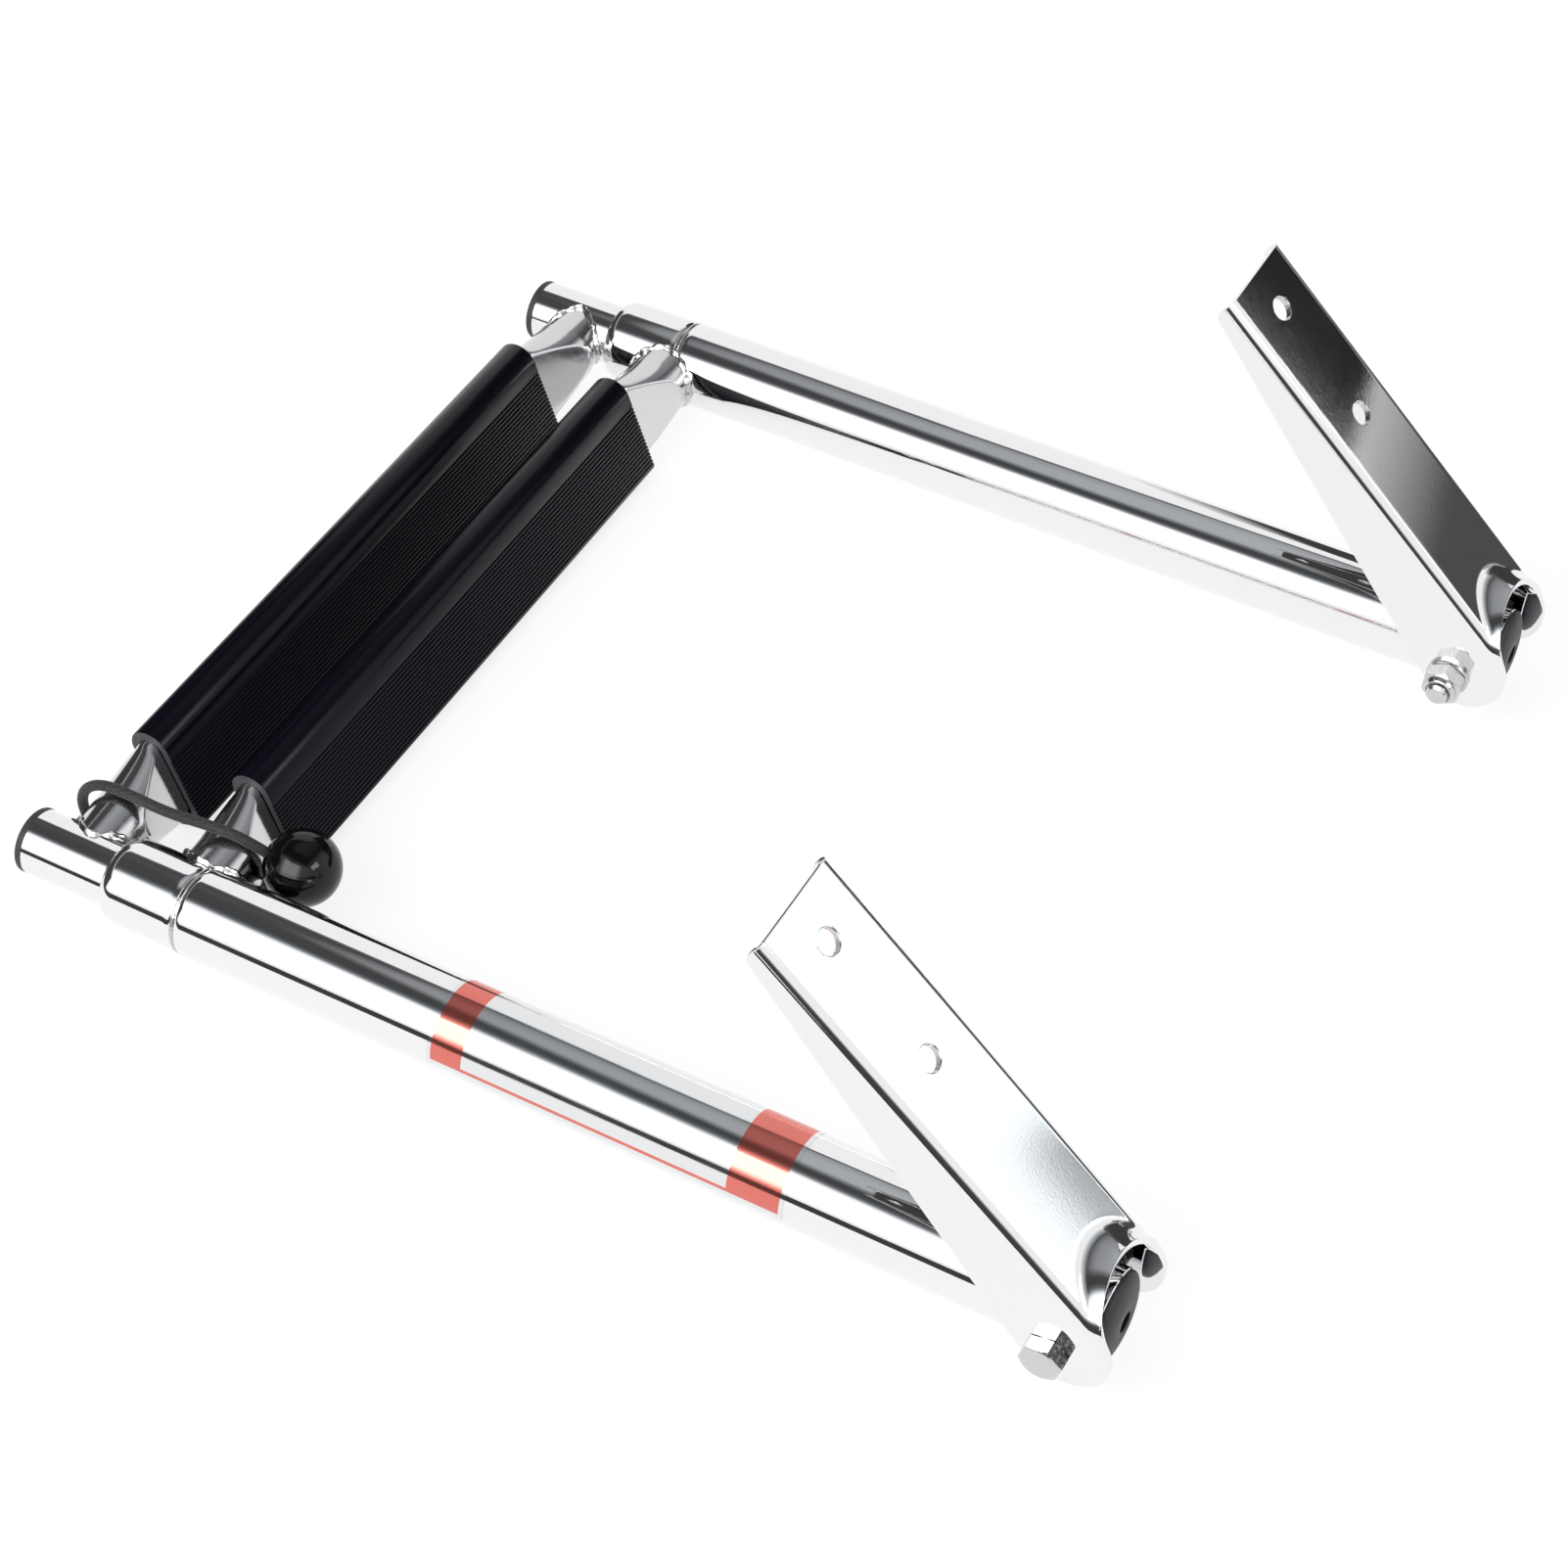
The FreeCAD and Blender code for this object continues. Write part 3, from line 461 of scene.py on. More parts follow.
def outward(side):
    """Turn the Z axis outward, away from the middle of the ladder."""
    return Matrix.Rotation(math.radians(90 * side), 4, "Y")


def moved(bm, rotation, x, y, z):
    bmesh.ops.transform(bm, matrix=Matrix.Translation((x, y, z)) @ rotation, verts=bm.verts)
    return bm


def finish(name, bm, materials, body, replaced=(), sharp=40):
    """Make a finished piece in metres, smooth except across sharp edges, riding on its body."""
    piece = as_object(name, bm, MM)
    for material in materials if isinstance(materials, list) else [materials]:
        piece.data.materials.append(material)
    piece.data.shade_smooth()
    piece.data.set_sharp_from_angle(angle=math.radians(sharp))
    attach(piece, body)
    if replaced:
        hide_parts(*replaced)


# ---------- Stringers ----------

def make_collar(side_name, side):
    """Spun collar whose mouth is rounded in to the inner tube, with a turned lip."""
    low, high = box_mm(f"collar_{side_name}")
    length, outer = high.y - low.y, (high.z - low.z) / 2
    mouth, bore = INNER_RADIUS + 0.1, TUBE_BORE
    profile = [(mouth, 1.2), (mouth, 0.25), (mouth + 0.22, 0.0)] + rounding(outer, 3.3, 6.0, steps=10)
    profile += [(outer - 1.1 + 1.1 * math.cos(turn), length - 2.8 + 2.8 * math.sin(turn))
                for turn in (math.radians(angle) for angle in range(0, 91, 10))]
    profile += [(bore, length), (bore, 2.2), (mouth + 1.2, 1.2)]
    bm = moved(spun(profile, closed=True), ALONG_Y, side * SIDE_X, low.y, AXIS_Z)
    finish(f"spun_collar_{side_name}", bm, STEEL, "outer_frame", [f"collar_{side_name}"])


def make_outer_tube(side_name, side):
    """Outer tube with a rounded end at the seam, cross drilled for the bracket bolt."""
    low, high = box_mm(f"outer_tube_{side_name}")
    length, bore, bolt = high.y - low.y, TUBE_BORE, PIVOT_Y - low.y
    profile = [(bore, 0)] + rounding(TUBE_RADIUS, 1.0, 2.8) + [
        (TUBE_RADIUS, bolt - 9), (TUBE_RADIUS, bolt + 9), (TUBE_RADIUS, length - 0.3),
        (TUBE_RADIUS - 0.3, length), (bore, length), (bore, bolt + 9), (bore, bolt - 9)]
    drill_bit = bmesh.new()
    bmesh.ops.create_cone(drill_bit, cap_ends=True, segments=48, radius1=BOLT_HOLE_RADIUS,
                          radius2=BOLT_HOLE_RADIUS, depth=50)
    moved(drill_bit, outward(1), 0, 0, bolt)
    tube = combined(spun(profile, closed=True, segments=128), drill_bit, "DIFFERENCE")
    moved(tube, ALONG_Y, side * SIDE_X, low.y, AXIS_Z)
    finish(f"drilled_tube_{side_name}", tube, STEEL, "outer_frame",
           [f"outer_tube_{side_name}"])


def make_seam_weld(side_name, side):
    """Narrow rounded weld between the collar and the outer tube."""
    low, high = box_mm(f"seam_ring_{side_name}")
    width, outer = high.y - low.y, (high.z - low.z) / 2
    profile = [(TUBE_BORE, 0)] + rounding(outer, 0.6, width / 2, end=180) + [(TUBE_BORE, width)]
    bm = spun(profile, closed=True, segments=180)
    ripple = random.Random(7 + side)
    for vert in bm.verts:
        if vert.co.xy.length > outer - 0.65:
            vert.co.xy *= 1 + ripple.uniform(-0.0022, 0.0)
    moved(bm, ALONG_Y, side * SIDE_X, low.y, AXIS_Z)
    finish(f"seam_weld_{side_name}", bm, WELD_STEEL, "outer_frame",
           [f"seam_ring_{side_name}"])


def make_end_cap(side_name, side):
    """Moulded cap with a rounded rim, a shallow dish and a moulding mark in the middle."""
    low = box_mm(f"end_cap_{side_name}")[0]
    profile = [(0, 0.45), (1.6, 0.45), (1.9, 0.6), (INNER_RADIUS - 3.2, 0.6), (INNER_RADIUS - 2.4, 0.1),
               (INNER_RADIUS - 2.0, 0.0)] + rounding(INNER_RADIUS, 1, 1)
    profile += [(INNER_RADIUS, 2.7), (INNER_RADIUS - 0.3, 3.0), (INNER_RADIUS - 1.2, 3.0),
                (INNER_RADIUS - 1.3, 12.6),
                (INNER_RADIUS - 1.7, 13.0), (0, 13.0)]
    bm = moved(spun(profile), ALONG_Y, side * SIDE_X, low.y, AXIS_Z)
    finish(f"tip_cap_{side_name}", bm, RUBBER, "inner_frame", [f"end_cap_{side_name}"])


def make_end_plug(side_name, side):
    """Rubber plug with a stepped rim, a domed front and a small through hole whose wall is painted near black
    as shade.
    """
    low = box_mm(f"end_plug_{side_name}")[0]
    rim, bore = TUBE_RADIUS - 0.4, TUBE_BORE
    profile = [(3.4, 0), (bore, 0), (bore, 5.0), (rim - 0.2, 5.0), (rim, 5.2), (rim, 5.9), (rim - 0.15, 6.2),
               (rim - 0.6, 6.8), (rim - 1.4, 7.4), (rim - 2.6, 7.95), (rim - 4.2, 8.45), (rim - 6.0, 8.85),
               (rim - 8.0, 9.1), (3.9, 9.2), (3.5, 9.0), (3.4, 8.8)]
    bm = spun(profile, closed=True)
    # Faces of the hole's wall take a near-black material: painted shade inside the hole, not the rubber's own
    # colour.
    for face in bm.faces:
        face.material_index = 1 if face.calc_center_median().xy.length < 3.6 else 0
    moved(bm, ALONG_Y, side * SIDE_X, low.y, AXIS_Z)
    finish(f"rubber_plug_{side_name}", bm, [RUBBER, BORE_PAINTED_SHADE], "outer_frame",
           [f"end_plug_{side_name}"])


FILM_GAP = 0.07
FILM_FROM_TIP = (168.5, 298.7)
FILM_BANDS = [(1.5, 13.0), (110.2, 128.7)]
EDGE_LINE = (2, 7.5)
FILM_ANGLES = [-6, -2, *EDGE_LINE, 11] + list(range(15, 151, 4))


def make_film():
    """Clear film round the outer side of one stringer, with two plain red bands and a thin red edge line."""
    length = FILM_FROM_TIP[1] - FILM_FROM_TIP[0]
    lines = sorted({0.0, length, *FILM_BANDS[0], *FILM_BANDS[1]})
    first_line, last_line = FILM_BANDS[0][0], FILM_BANDS[1][1]
    bm = bmesh.new()
    radius = TUBE_RADIUS + FILM_GAP
    first = [bm.verts.new((radius * math.cos(math.radians(turn)), TIP_Y + FILM_FROM_TIP[0],
                           radius * math.sin(math.radians(turn)))) for turn in FILM_ANGLES]
    row = [bm.edges.new(pair) for pair in zip(first, first[1:])]
    for start, end in zip(lines, lines[1:]):
        verts, row = extended(bm, row)
        bmesh.ops.translate(bm, vec=(0, end - start, 0), verts=verts)
        for face in {face for vert in verts for face in vert.link_faces}:
            middle = face.calc_center_median()
            turn = math.degrees(math.atan2(middle.z, middle.x))
            band = turn > EDGE_LINE[0] and any(low <= start and end <= high for low, high in FILM_BANDS)
            line = EDGE_LINE[0] < turn < EDGE_LINE[1] and first_line <= start and end <= last_line
            face.material_index = 1 if band or line else 0
    for face in bm.faces:
        outside = face.calc_center_median()
        if face.normal.dot(Vector((outside.x, 0, outside.z))) < 0:
            face.normal_flip()
    moved(bm, UPRIGHT, SIDE_X, 0, AXIS_Z)
    finish("clear_film", bm, [FILM, RED_INK], "outer_frame")


# ---------- Steps ----------

STEP_TILT = 18.7
RUNG_RADIUS = 12.7
FLAT_THICKNESS, FLAT_END = 9.6, 121.0
LEAN = Matrix.Rotation(math.radians(STEP_TILT), 4, "X")


def eased(value):
    value = min(max(value, 0), 1)
    return value * value * (3 - 2 * value)


def pressed_section(press):
    """Points round a tube as (thickness, width), pressed from round at 0 to flat at 1 with its girth kept."""
    half = RUNG_RADIUS - press * (RUNG_RADIUS - FLAT_THICKNESS / 2)
    side = half + (RUNG_RADIUS - half) * math.sqrt(1 - press)
    lean = math.asin(min(half / side, 1))
    quarter = math.pi * RUNG_RADIUS / 2
    flat = quarter - side * lean
    crease = max(flat, 2.0)
    lengths = [crease * step / 9 for step in range(10)]
    lengths += [crease + (quarter - crease) * step / 14 for step in range(1, 15)]
    points = []
    for length in lengths:
        turn = lean - (length - flat) / side
        points.append((half, length) if length < flat else
                      (side * math.sin(turn), flat + side * (math.cos(turn) - math.cos(lean))))
    points += [(-thick, width) for thick, width in reversed(points[:-1])]
    return points + [(thick, -width) for thick, width in reversed(points[1:-1])]


def make_rung(name, centre_y, tube_radius, mouth_radius, round_start, body):
    """Round tube pressed to a flat oval between its ends and coped to the stringers."""
    steps = 24
    stations = [(0, 1)] + [(FLAT_END + (round_start - FLAT_END) * step / steps, 1 - step / steps)
                           for step in range(steps)] + [(round_start, 0.008), (round_start + 0.8, 0),
                                                        (SIDE_X, 0)]
    bm = bmesh.new()
    ring = bmesh.ops.create_circle(bm, cap_ends=False, segments=len(pressed_section(1)), radius=1)["verts"]
    edges = list(bm.edges)

    def shape(verts, x, press):
        taper = 1 - (1 - mouth_radius / RUNG_RADIUS) * max(x - round_start, 0) / (SIDE_X - round_start)
        for vert, (thick, width) in zip(verts, pressed_section(press)):
            vert.co = LEAN @ Vector((x, thick * taper, width * taper))

    shape(ring, *stations[0])
    for x, press in stations[1:]:
        ring, edges = extended(bm, edges)
        shape(ring, x, press)
    inside = tube_radius - 0.5
    for vert in ring:
        vert.co.x = SIDE_X - math.sqrt(max(inside ** 2 - vert.co.z ** 2, 1))
    bmesh.ops.holes_fill(bm, edges=edges, sides=len(ring))
    half = bm.verts[:] + bm.edges[:] + bm.faces[:]
    bmesh.ops.mirror(bm, geom=half, matrix=Matrix.Identity(4), merge_dist=0.01, axis="X")
    bmesh.ops.recalc_face_normals(bm, faces=bm.faces)
    moved(bm, UPRIGHT, 0, centre_y, AXIS_Z)
    finish(f"pressed_{name}", bm, RUNG_STEEL, body, [name], sharp=60)


def make_rung_welds(name, centre_y, tube_radius, rung_radius, body):
    """Lumpy weld beads where a rung meets the two stringers."""
    around, across = 150, 12
    for side_name, side in SIDES.items():
        lumps = random.Random(11 + 3 * side + len(name))
        waves = [(count, lumps.uniform(0, 6.3), lumps.uniform(0.3, 1)) for count in (5, 8, 13, 19)]
        bm = bmesh.new()
        bmesh.ops.create_grid(bm, x_segments=around, y_segments=across, size=0.5)
        for vert in bm.verts:
            turn = 2 * math.pi * (vert.co.x + 0.5)
            roll = 2 * math.pi * (vert.co.y + 0.5)
            y, z = rung_radius * math.cos(turn), rung_radius * math.sin(turn)
            reach = math.sqrt(tube_radius ** 2 - z ** 2)
            outward_rung = Vector((0, math.cos(turn), math.sin(turn)))
            outward_tube = Vector((-reach, 0, z)).normalized()
            noise = sum(size * math.sin(count * turn + phase) for count, phase, size in waves)
            size = 1.8 + 0.26 * noise
            centre = Vector((SIDE_X - reach, y, z)) - 0.35 * (outward_rung + outward_tube)
            vert.co = centre + size * (math.cos(roll) * outward_rung + math.sin(roll) * outward_tube)
        bmesh.ops.remove_doubles(bm, verts=bm.verts, dist=0.002)
        bmesh.ops.scale(bm, vec=(side, 1, 1), verts=bm.verts)
        bmesh.ops.recalc_face_normals(bm, faces=bm.faces)
        moved(bm, UPRIGHT, 0, centre_y, AXIS_Z)
        finish(f"{name}_weld_{side_name}", bm, WELD_STEEL, body)


TREAD_HALF, TREAD_FACE = 21.0, 7.9
TREAD_SEAT_HALF, TREAD_INSIDE = 12.4, 4.9
TREAD_CORNER, TREAD_HOOK = 2.7, 6.0
RIB_PITCH, RIB_COUNT, RIB_EDGE, RIB_DEPTH = 1.6, 17, 3.0, 0.7


def arc(centre, radius, start, end, steps):
    """Points of an arc, angles in degrees from the first axis towards the second."""
    turns = [math.radians(start + (end - start) * step / steps) for step in range(steps + 1)]
    return [(centre[0] + radius * math.cos(turn), centre[1] + radius * math.sin(turn)) for turn in turns]


def tread_outline():
    """Section of the grip as (thickness, width) points: round nose, ribbed face and two hooked edges."""
    nose = TREAD_HALF - TREAD_FACE
    groove = [(0.0, 0.0), (0.06, 0.12), (0.22, 0.2), (0.5, 0.24), (RIB_DEPTH, 0.34), (RIB_DEPTH, 0.52),
              (0.5, 0.62), (0.22, 0.66), (0.06, 0.74), (0.0, 0.86)]
    points = [(TREAD_FACE, nose)]
    for number in reversed(range(RIB_COUNT)):
        low = -TREAD_HALF + RIB_EDGE + number * RIB_PITCH - 0.08
        points += [(TREAD_FACE - depth, low + along) for depth, along in reversed(groove)]
    low, back = -TREAD_HALF + TREAD_CORNER, -TREAD_FACE
    points += arc((TREAD_FACE - TREAD_CORNER, low), TREAD_CORNER, 0, -90, 6)
    points += arc((back + TREAD_CORNER, low), TREAD_CORNER, -90, -180, 6)
    lip = -TREAD_SEAT_HALF + TREAD_HOOK - TREAD_INSIDE
    points += arc((back + 0.8, lip - 0.8), 0.8, 180, 90, 3) + arc((-TREAD_INSIDE - 0.8, lip - 0.8), 0.8, 90,
                                                                  0, 3)
    points += arc((0, -TREAD_SEAT_HALF), TREAD_INSIDE, 180, 360, 18)
    points += arc((0, TREAD_SEAT_HALF), TREAD_INSIDE, 0, 180, 18)
    lip = TREAD_SEAT_HALF - TREAD_HOOK + TREAD_INSIDE
    points += arc((-TREAD_INSIDE - 0.8, lip + 0.8), 0.8, 0, -90, 3) + arc((back + 0.8, lip + 0.8), 0.8, -90,
                                                                          -180, 3)
    points += arc((0, nose), TREAD_FACE, 180, 0, 30)[:-1]
    return points


def make_tread(name, centre_y, body):
    """Extruded grip clipped over the flat rung, its cut ends left bare."""
    low, high = box_mm(name)
    bm = bmesh.new()
    section = [bm.verts.new((low.x + 0.3, thickness, width)) for thickness, width in tread_outline()]
    face = bm.faces.new(section)
    result = bmesh.ops.extrude_face_region(bm, geom=[face])["geom"]
    verts = [item for item in result if isinstance(item, bmesh.types.BMVert)]
    bmesh.ops.translate(bm, vec=(high.x - low.x - 0.6, 0, 0), verts=verts)
    bmesh.ops.recalc_face_normals(bm, faces=bm.faces)
    ends = [face for face in bm.faces if abs(face.normal.x) > 0.9]
    for end in ends:
        outward_x = math.copysign(0.3, end.calc_center_median().x)
        inset = bmesh.ops.inset_region(bm, faces=[end], thickness=0.18, depth=0, use_even_offset=False)
        bmesh.ops.translate(bm, vec=(outward_x, 0, 0), verts=end.verts)
        for rim in inset["faces"]:
            rim.material_index = 0
        end.material_index = 1
    moved(bm, LEAN, 0, centre_y, AXIS_Z)
    finish(f"ribbed_{name}", bm, [TREAD, CUT_EDGE], body, [name], sharp=35)


# ---------- Brackets ----------

PLATE, BRACKET_HALF = 2.5, 20.775
WEB_HEIGHT, WEB_LENGTH, BEND = 23.4, 159.2, 4.0
LOBE_RADIUS, LOBE_PAST, LOBE_UP, EAR_TAPER = 15.5, 0.8, 6.0, 9.0
SADDLE_ANGLE, SADDLE_UP, RIM_ANGLE, BRACKET_ANGLE = 44.7, 9.3, 25.3, 44.7
SADDLE_BLEND = 5.5
EAR_CORNER, WEB_HOLE_RADIUS = 3.6, 4.25
EAR_STEPS, LOBE_STEPS, HALF_COLUMNS = 44, 40, 60
FAN_START, FAN_LENGTH, FAN_LEAN, LOBE_TOP = -95, 92, 27, -29
HOLES_FROM_BOLT = (96.8, 143.7)


def web_top(x, y):
    """Height of the bracket's outer face over a point, with the web level and the bolt at the origin."""
    x = min(abs(x), BRACKET_HALF)
    flat = WEB_HEIGHT
    if x > BRACKET_HALF - BEND:
        flat += math.sqrt(max(BEND ** 2 - (x - BRACKET_HALF + BEND) ** 2, 0)) - BEND
    arch = SADDLE_UP + math.sqrt(BRACKET_HALF ** 2 - x ** 2)
    saddle = arch / math.cos(math.radians(SADDLE_ANGLE)) + y * math.tan(math.radians(SADDLE_ANGLE))
    overlap = max(SADDLE_BLEND - abs(flat - saddle), 0)
    return max(flat, saddle) + overlap ** 2 / (4 * SADDLE_BLEND)


def reach_top(x, foot, way):
    """Where a line in the side view meets the bracket's outer face."""
    low, high = 0.0, 90.0
    for step in range(40):
        middle = (low + high) / 2
        point = foot + way * middle
        low, high = (low, middle) if point.y > web_top(x, point.x) else (middle, high)
    return foot + way * low


def side_outline():
    """Lower edge of the ears in the side view, from the end of the web round the lobe to the open rim."""
    taper = math.radians(EAR_TAPER)
    low = Vector((LOBE_PAST - LOBE_RADIUS * math.sin(taper), LOBE_UP - LOBE_RADIUS * math.cos(taper)))
    slope = Vector((-math.cos(taper), math.sin(taper)))
    corner = Vector((EAR_CORNER - WEB_LENGTH, 0))
    corner.y = low.y + (low.x - corner.x) * math.tan(taper) + EAR_CORNER / math.cos(taper)
    points = arc(corner, EAR_CORNER, 180, 270 - EAR_TAPER, 7)
    straight = low.lerp(low + slope, (low.x - points[-1][0]) / math.cos(taper))
    points += [tuple(straight.lerp(low, step / EAR_STEPS)) for step in range(1, EAR_STEPS)]
    points += arc((LOBE_PAST, LOBE_UP), LOBE_RADIUS, -90 - EAR_TAPER, 90 - RIM_ANGLE, LOBE_STEPS)
    return [Vector(point) for point in points]


def bracket_line(foot, way, columns):
    """Points across one half of the bracket's outer face, closer together round its bends."""
    line = [Vector((BRACKET_HALF, *foot))]
    for step in range(61):
        x = BRACKET_HALF * math.cos(math.radians(1.5 * step))
        line.append(Vector((x, *reach_top(x, foot, way))))
    measure, before = [0.0], None
    for start, end in zip(line, line[1:]):
        run = end - start
        bend = before.angle(run, 0) if before and before.length and run.length else 0
        measure.append(measure[-1] + run.length + 8 * bend)
        before = run if run.length > 0.001 else before
    points, index = [], 0
    for column in range(columns + 1):
        target = measure[-1] * column / columns
        while index < len(line) - 2 and measure[index + 1] < target:
            index += 1
        span = measure[index + 1] - measure[index]
        points.append(line[index].lerp(line[index + 1],
                                       min((target - measure[index]) / span, 1) if span else 0))
    return points


def bracket_sheet():
    """Outer face of the folded bracket as one smooth grid, its lines fanning out round the lobe."""
    feet = side_outline()
    rim_angle, half = math.radians(RIM_ANGLE), HALF_COLUMNS
    rim_top = reach_top(0, feet[-1], Vector((-math.cos(rim_angle), math.sin(rim_angle)))).x
    lines = []
    lobe_start = len(feet) - LOBE_STEPS - 1
    for number, foot in enumerate(feet):
        if number == 0:
            across = -WEB_LENGTH
        elif number < lobe_start:
            across = foot.x - FAN_LEAN * eased((foot.x - FAN_START) / FAN_LENGTH)
        else:
            across = LOBE_TOP + (rim_top - LOBE_TOP) * (number - lobe_start) / LOBE_STEPS
        way = (Vector((across, web_top(0, across))) - foot).normalized()
        lines.append(bracket_line(foot, way, half))
    bm = bmesh.new()
    bmesh.ops.create_grid(bm, x_segments=len(lines) - 1, y_segments=2 * half, size=0.5)
    for vert in bm.verts:
        line = lines[round((vert.co.x + 0.5) * (len(lines) - 1))]
        column = round((vert.co.y + 0.5) * 2 * half)
        point = line[min(column, 2 * half - column)]
        vert.co = (math.copysign(point.x, column - half), point.y, point.z)
    bmesh.ops.recalc_face_normals(bm, faces=bm.faces)
    top = max(bm.faces, key=lambda face: face.calc_center_median().z)
    if top.normal.z < 0:
        bmesh.ops.reverse_faces(bm, faces=bm.faces)
    return bm


def drill(radius, clear=2.0, chamfer=0.3):
    """Cutter for a hole through a plate between 0 and -PLATE, with its edges eased."""
    wide = radius + chamfer + clear
    profile = [(0, clear), (wide, clear), (radius, -chamfer), (radius, chamfer - PLATE),
               (wide, -PLATE - clear), (0, -PLATE - clear)]
    return spun(profile, segments=64)


def make_brackets():
    """Bent, lobed and saddled channel with its three holes, set on both stringers."""
    sheet = as_object("sheet", bracket_sheet())
    wall = sheet.modifiers.new("wall", "SOLIDIFY")
    wall.thickness = PLATE
    wall.offset = -1
    wall.use_even_offset = True
    wall.use_quality_normals = True
    blank = settled(sheet)
    round_edges(blank, 0.4, angle=50)
    for distance in HOLES_FROM_BOLT:
        tool = moved(drill(WEB_HOLE_RADIUS), UPRIGHT, 0, -distance, WEB_HEIGHT)
        blank = combined(blank, tool, "DIFFERENCE")
    for side in (1, -1):
        tool = moved(drill(BOLT_HOLE_RADIUS), outward(side), side * BRACKET_HALF, 0, 0)
        blank = combined(blank, tool, "DIFFERENCE")
    for face in blank.faces:
        middle = face.calc_center_median()
        if any(math.hypot(middle.x, middle.y + distance) < 4.6 for distance in HOLES_FROM_BOLT):
            face.material_index = 1
    turn = Matrix.Rotation(math.radians(-BRACKET_ANGLE), 4, "X")
    for side_name, side in SIDES.items():
        bm = moved(blank.copy(), turn, side * SIDE_X, PIVOT_Y, AXIS_Z)
        finish(f"folded_bracket_{side_name}", bm, [BRACKET_STEEL, FIXING], f"{side_name}_bracket",
               [f"bracket_{side_name}"], sharp=32)
    blank.free()


# ---------- Fixings ----------

ACROSS_FLATS, HEAD_HEIGHT, NUT_HEIGHT, NUT_CROWN = 13.0, 5.0, 6.5, 1.8
WASHER_THICKNESS, BOLT_PAST_NUT, BORE = 1.5, 2.2, 4.15


def hexagon(across_flats, height, both_ends):
    """Hexagonal prism from 0 to its height, its corners turned off at the top or at both ends."""
    radius = across_flats / 2 / math.cos(math.radians(30))
    bm = bmesh.new()
    bmesh.ops.create_cone(bm, cap_ends=True, segments=6, radius1=radius, radius2=radius, depth=height)
    bmesh.ops.translate(bm, vec=(0, 0, height / 2), verts=bm.verts)
    face, slope = across_flats / 2 * 0.96, math.tan(math.radians(30))
    rise = (radius + 1 - face) * slope
    foot = [(face, 0), (radius + 1, rise)] if both_ends else [(radius + 1, 0), (radius + 1, 0.01)]
    profile = [(0, 0), *foot, (radius + 1, height - rise), (face, height), (0, height)]
    return round_edges(combined(bm, spun(profile), "INTERSECT"), 0.16, angle=20, segments=2)


def make_bolt(side_name, side):
    """Hexagon bolt with turned-off corners, a washer face and a chamfered end."""
    face = side * (SIDE_X + BRACKET_HALF)
    length = 2 * BRACKET_HALF + WASHER_THICKNESS + NUT_HEIGHT + NUT_CROWN + BOLT_PAST_NUT
    head = hexagon(ACROSS_FLATS, HEAD_HEIGHT, False)
    bmesh.ops.translate(head, vec=(0, 0, 0.3), verts=head.verts)
    shank = [(0, -length), (3.3, -length), (4.0, -length + 0.8), (4.0, -0.3), (5.9, -0.1), (6.2, 0.0),
             (6.2, 0.45),
             (0, 0.45)]
    bm = spun(shank)
    add_solid(bm, head)
    moved(bm, outward(side) @ Matrix.Rotation(math.radians(12), 4, "Z"), face, PIVOT_Y, AXIS_Z)
    finish(f"hex_bolt_{side_name}", bm, FIXING, f"{side_name}_bracket",
           [f"bracket_bolt_{side_name}"], sharp=25)


def make_washer(side_name, side):
    """Pressed washer with eased edges."""
    profile = [(4.2, 0.1), (4.3, 0), (7.55, 0), (7.75, 0.2), (7.75, 1.1), (7.5, 1.5), (4.5, 1.5), (4.2, 1.3)]
    bm = moved(spun(profile, closed=True), outward(-side), side * (SIDE_X - BRACKET_HALF), PIVOT_Y, AXIS_Z)
    finish(f"flat_washer_{side_name}", bm, FIXING, f"{side_name}_bracket",
           [f"washer_{side_name}"], sharp=30)


def make_nut(side_name, side):
    """Lock nut: a hexagon with turned-off corners under a rounded collar that holds a ring."""
    body = hexagon(ACROSS_FLATS, NUT_HEIGHT, True)
    crown = [(BORE, 5.0), (5.9, 5.0), (5.75, 6.9), (5.45, 7.7), (4.95, 8.2), (4.6, 8.3), (4.5, 8.0),
             (4.45, 7.5),
             (BORE, 7.4)]
    hole = spun([(0, -1), (BORE, -1), (BORE, 9), (0, 9)], segments=64)
    bm = combined(body, hole, "DIFFERENCE")
    add_solid(bm, spun(crown, closed=True))
    turn = outward(-side) @ Matrix.Rotation(math.radians(25), 4, "Z")
    moved(bm, turn, side * (SIDE_X - BRACKET_HALF - WASHER_THICKNESS), PIVOT_Y, AXIS_Z)
    finish(f"crowned_nut_{side_name}", bm, FIXING, f"{side_name}_bracket",
           [f"lock_nut_{side_name}"], sharp=25)


def make_spacers(side_name, side):
    """Two plastic rings between the stringer and the bracket's ears."""
    bm = bmesh.new()
    for hand in (1, -1):
        ring = spun([(BORE, 0.2), (4.35, 0), (7.2, 0), (7.5, 0.3), (7.5, 1.8), (7.2, 2.1), (4.35, 2.1),
                     (BORE, 1.9)], closed=True)
        moved(ring, outward(side * hand), side * (SIDE_X + hand * (TUBE_RADIUS + 0.15)), PIVOT_Y, AXIS_Z)
        add_solid(bm, ring)
    finish(f"spacer_rings_{side_name}", bm, BUSH, f"{side_name}_bracket",
           [f"spacers_{side_name}"])


BALL_EXTRA, DIMPLE_RADIUS, DIMPLE_DEPTH = 0.9, 1.9, 0.9


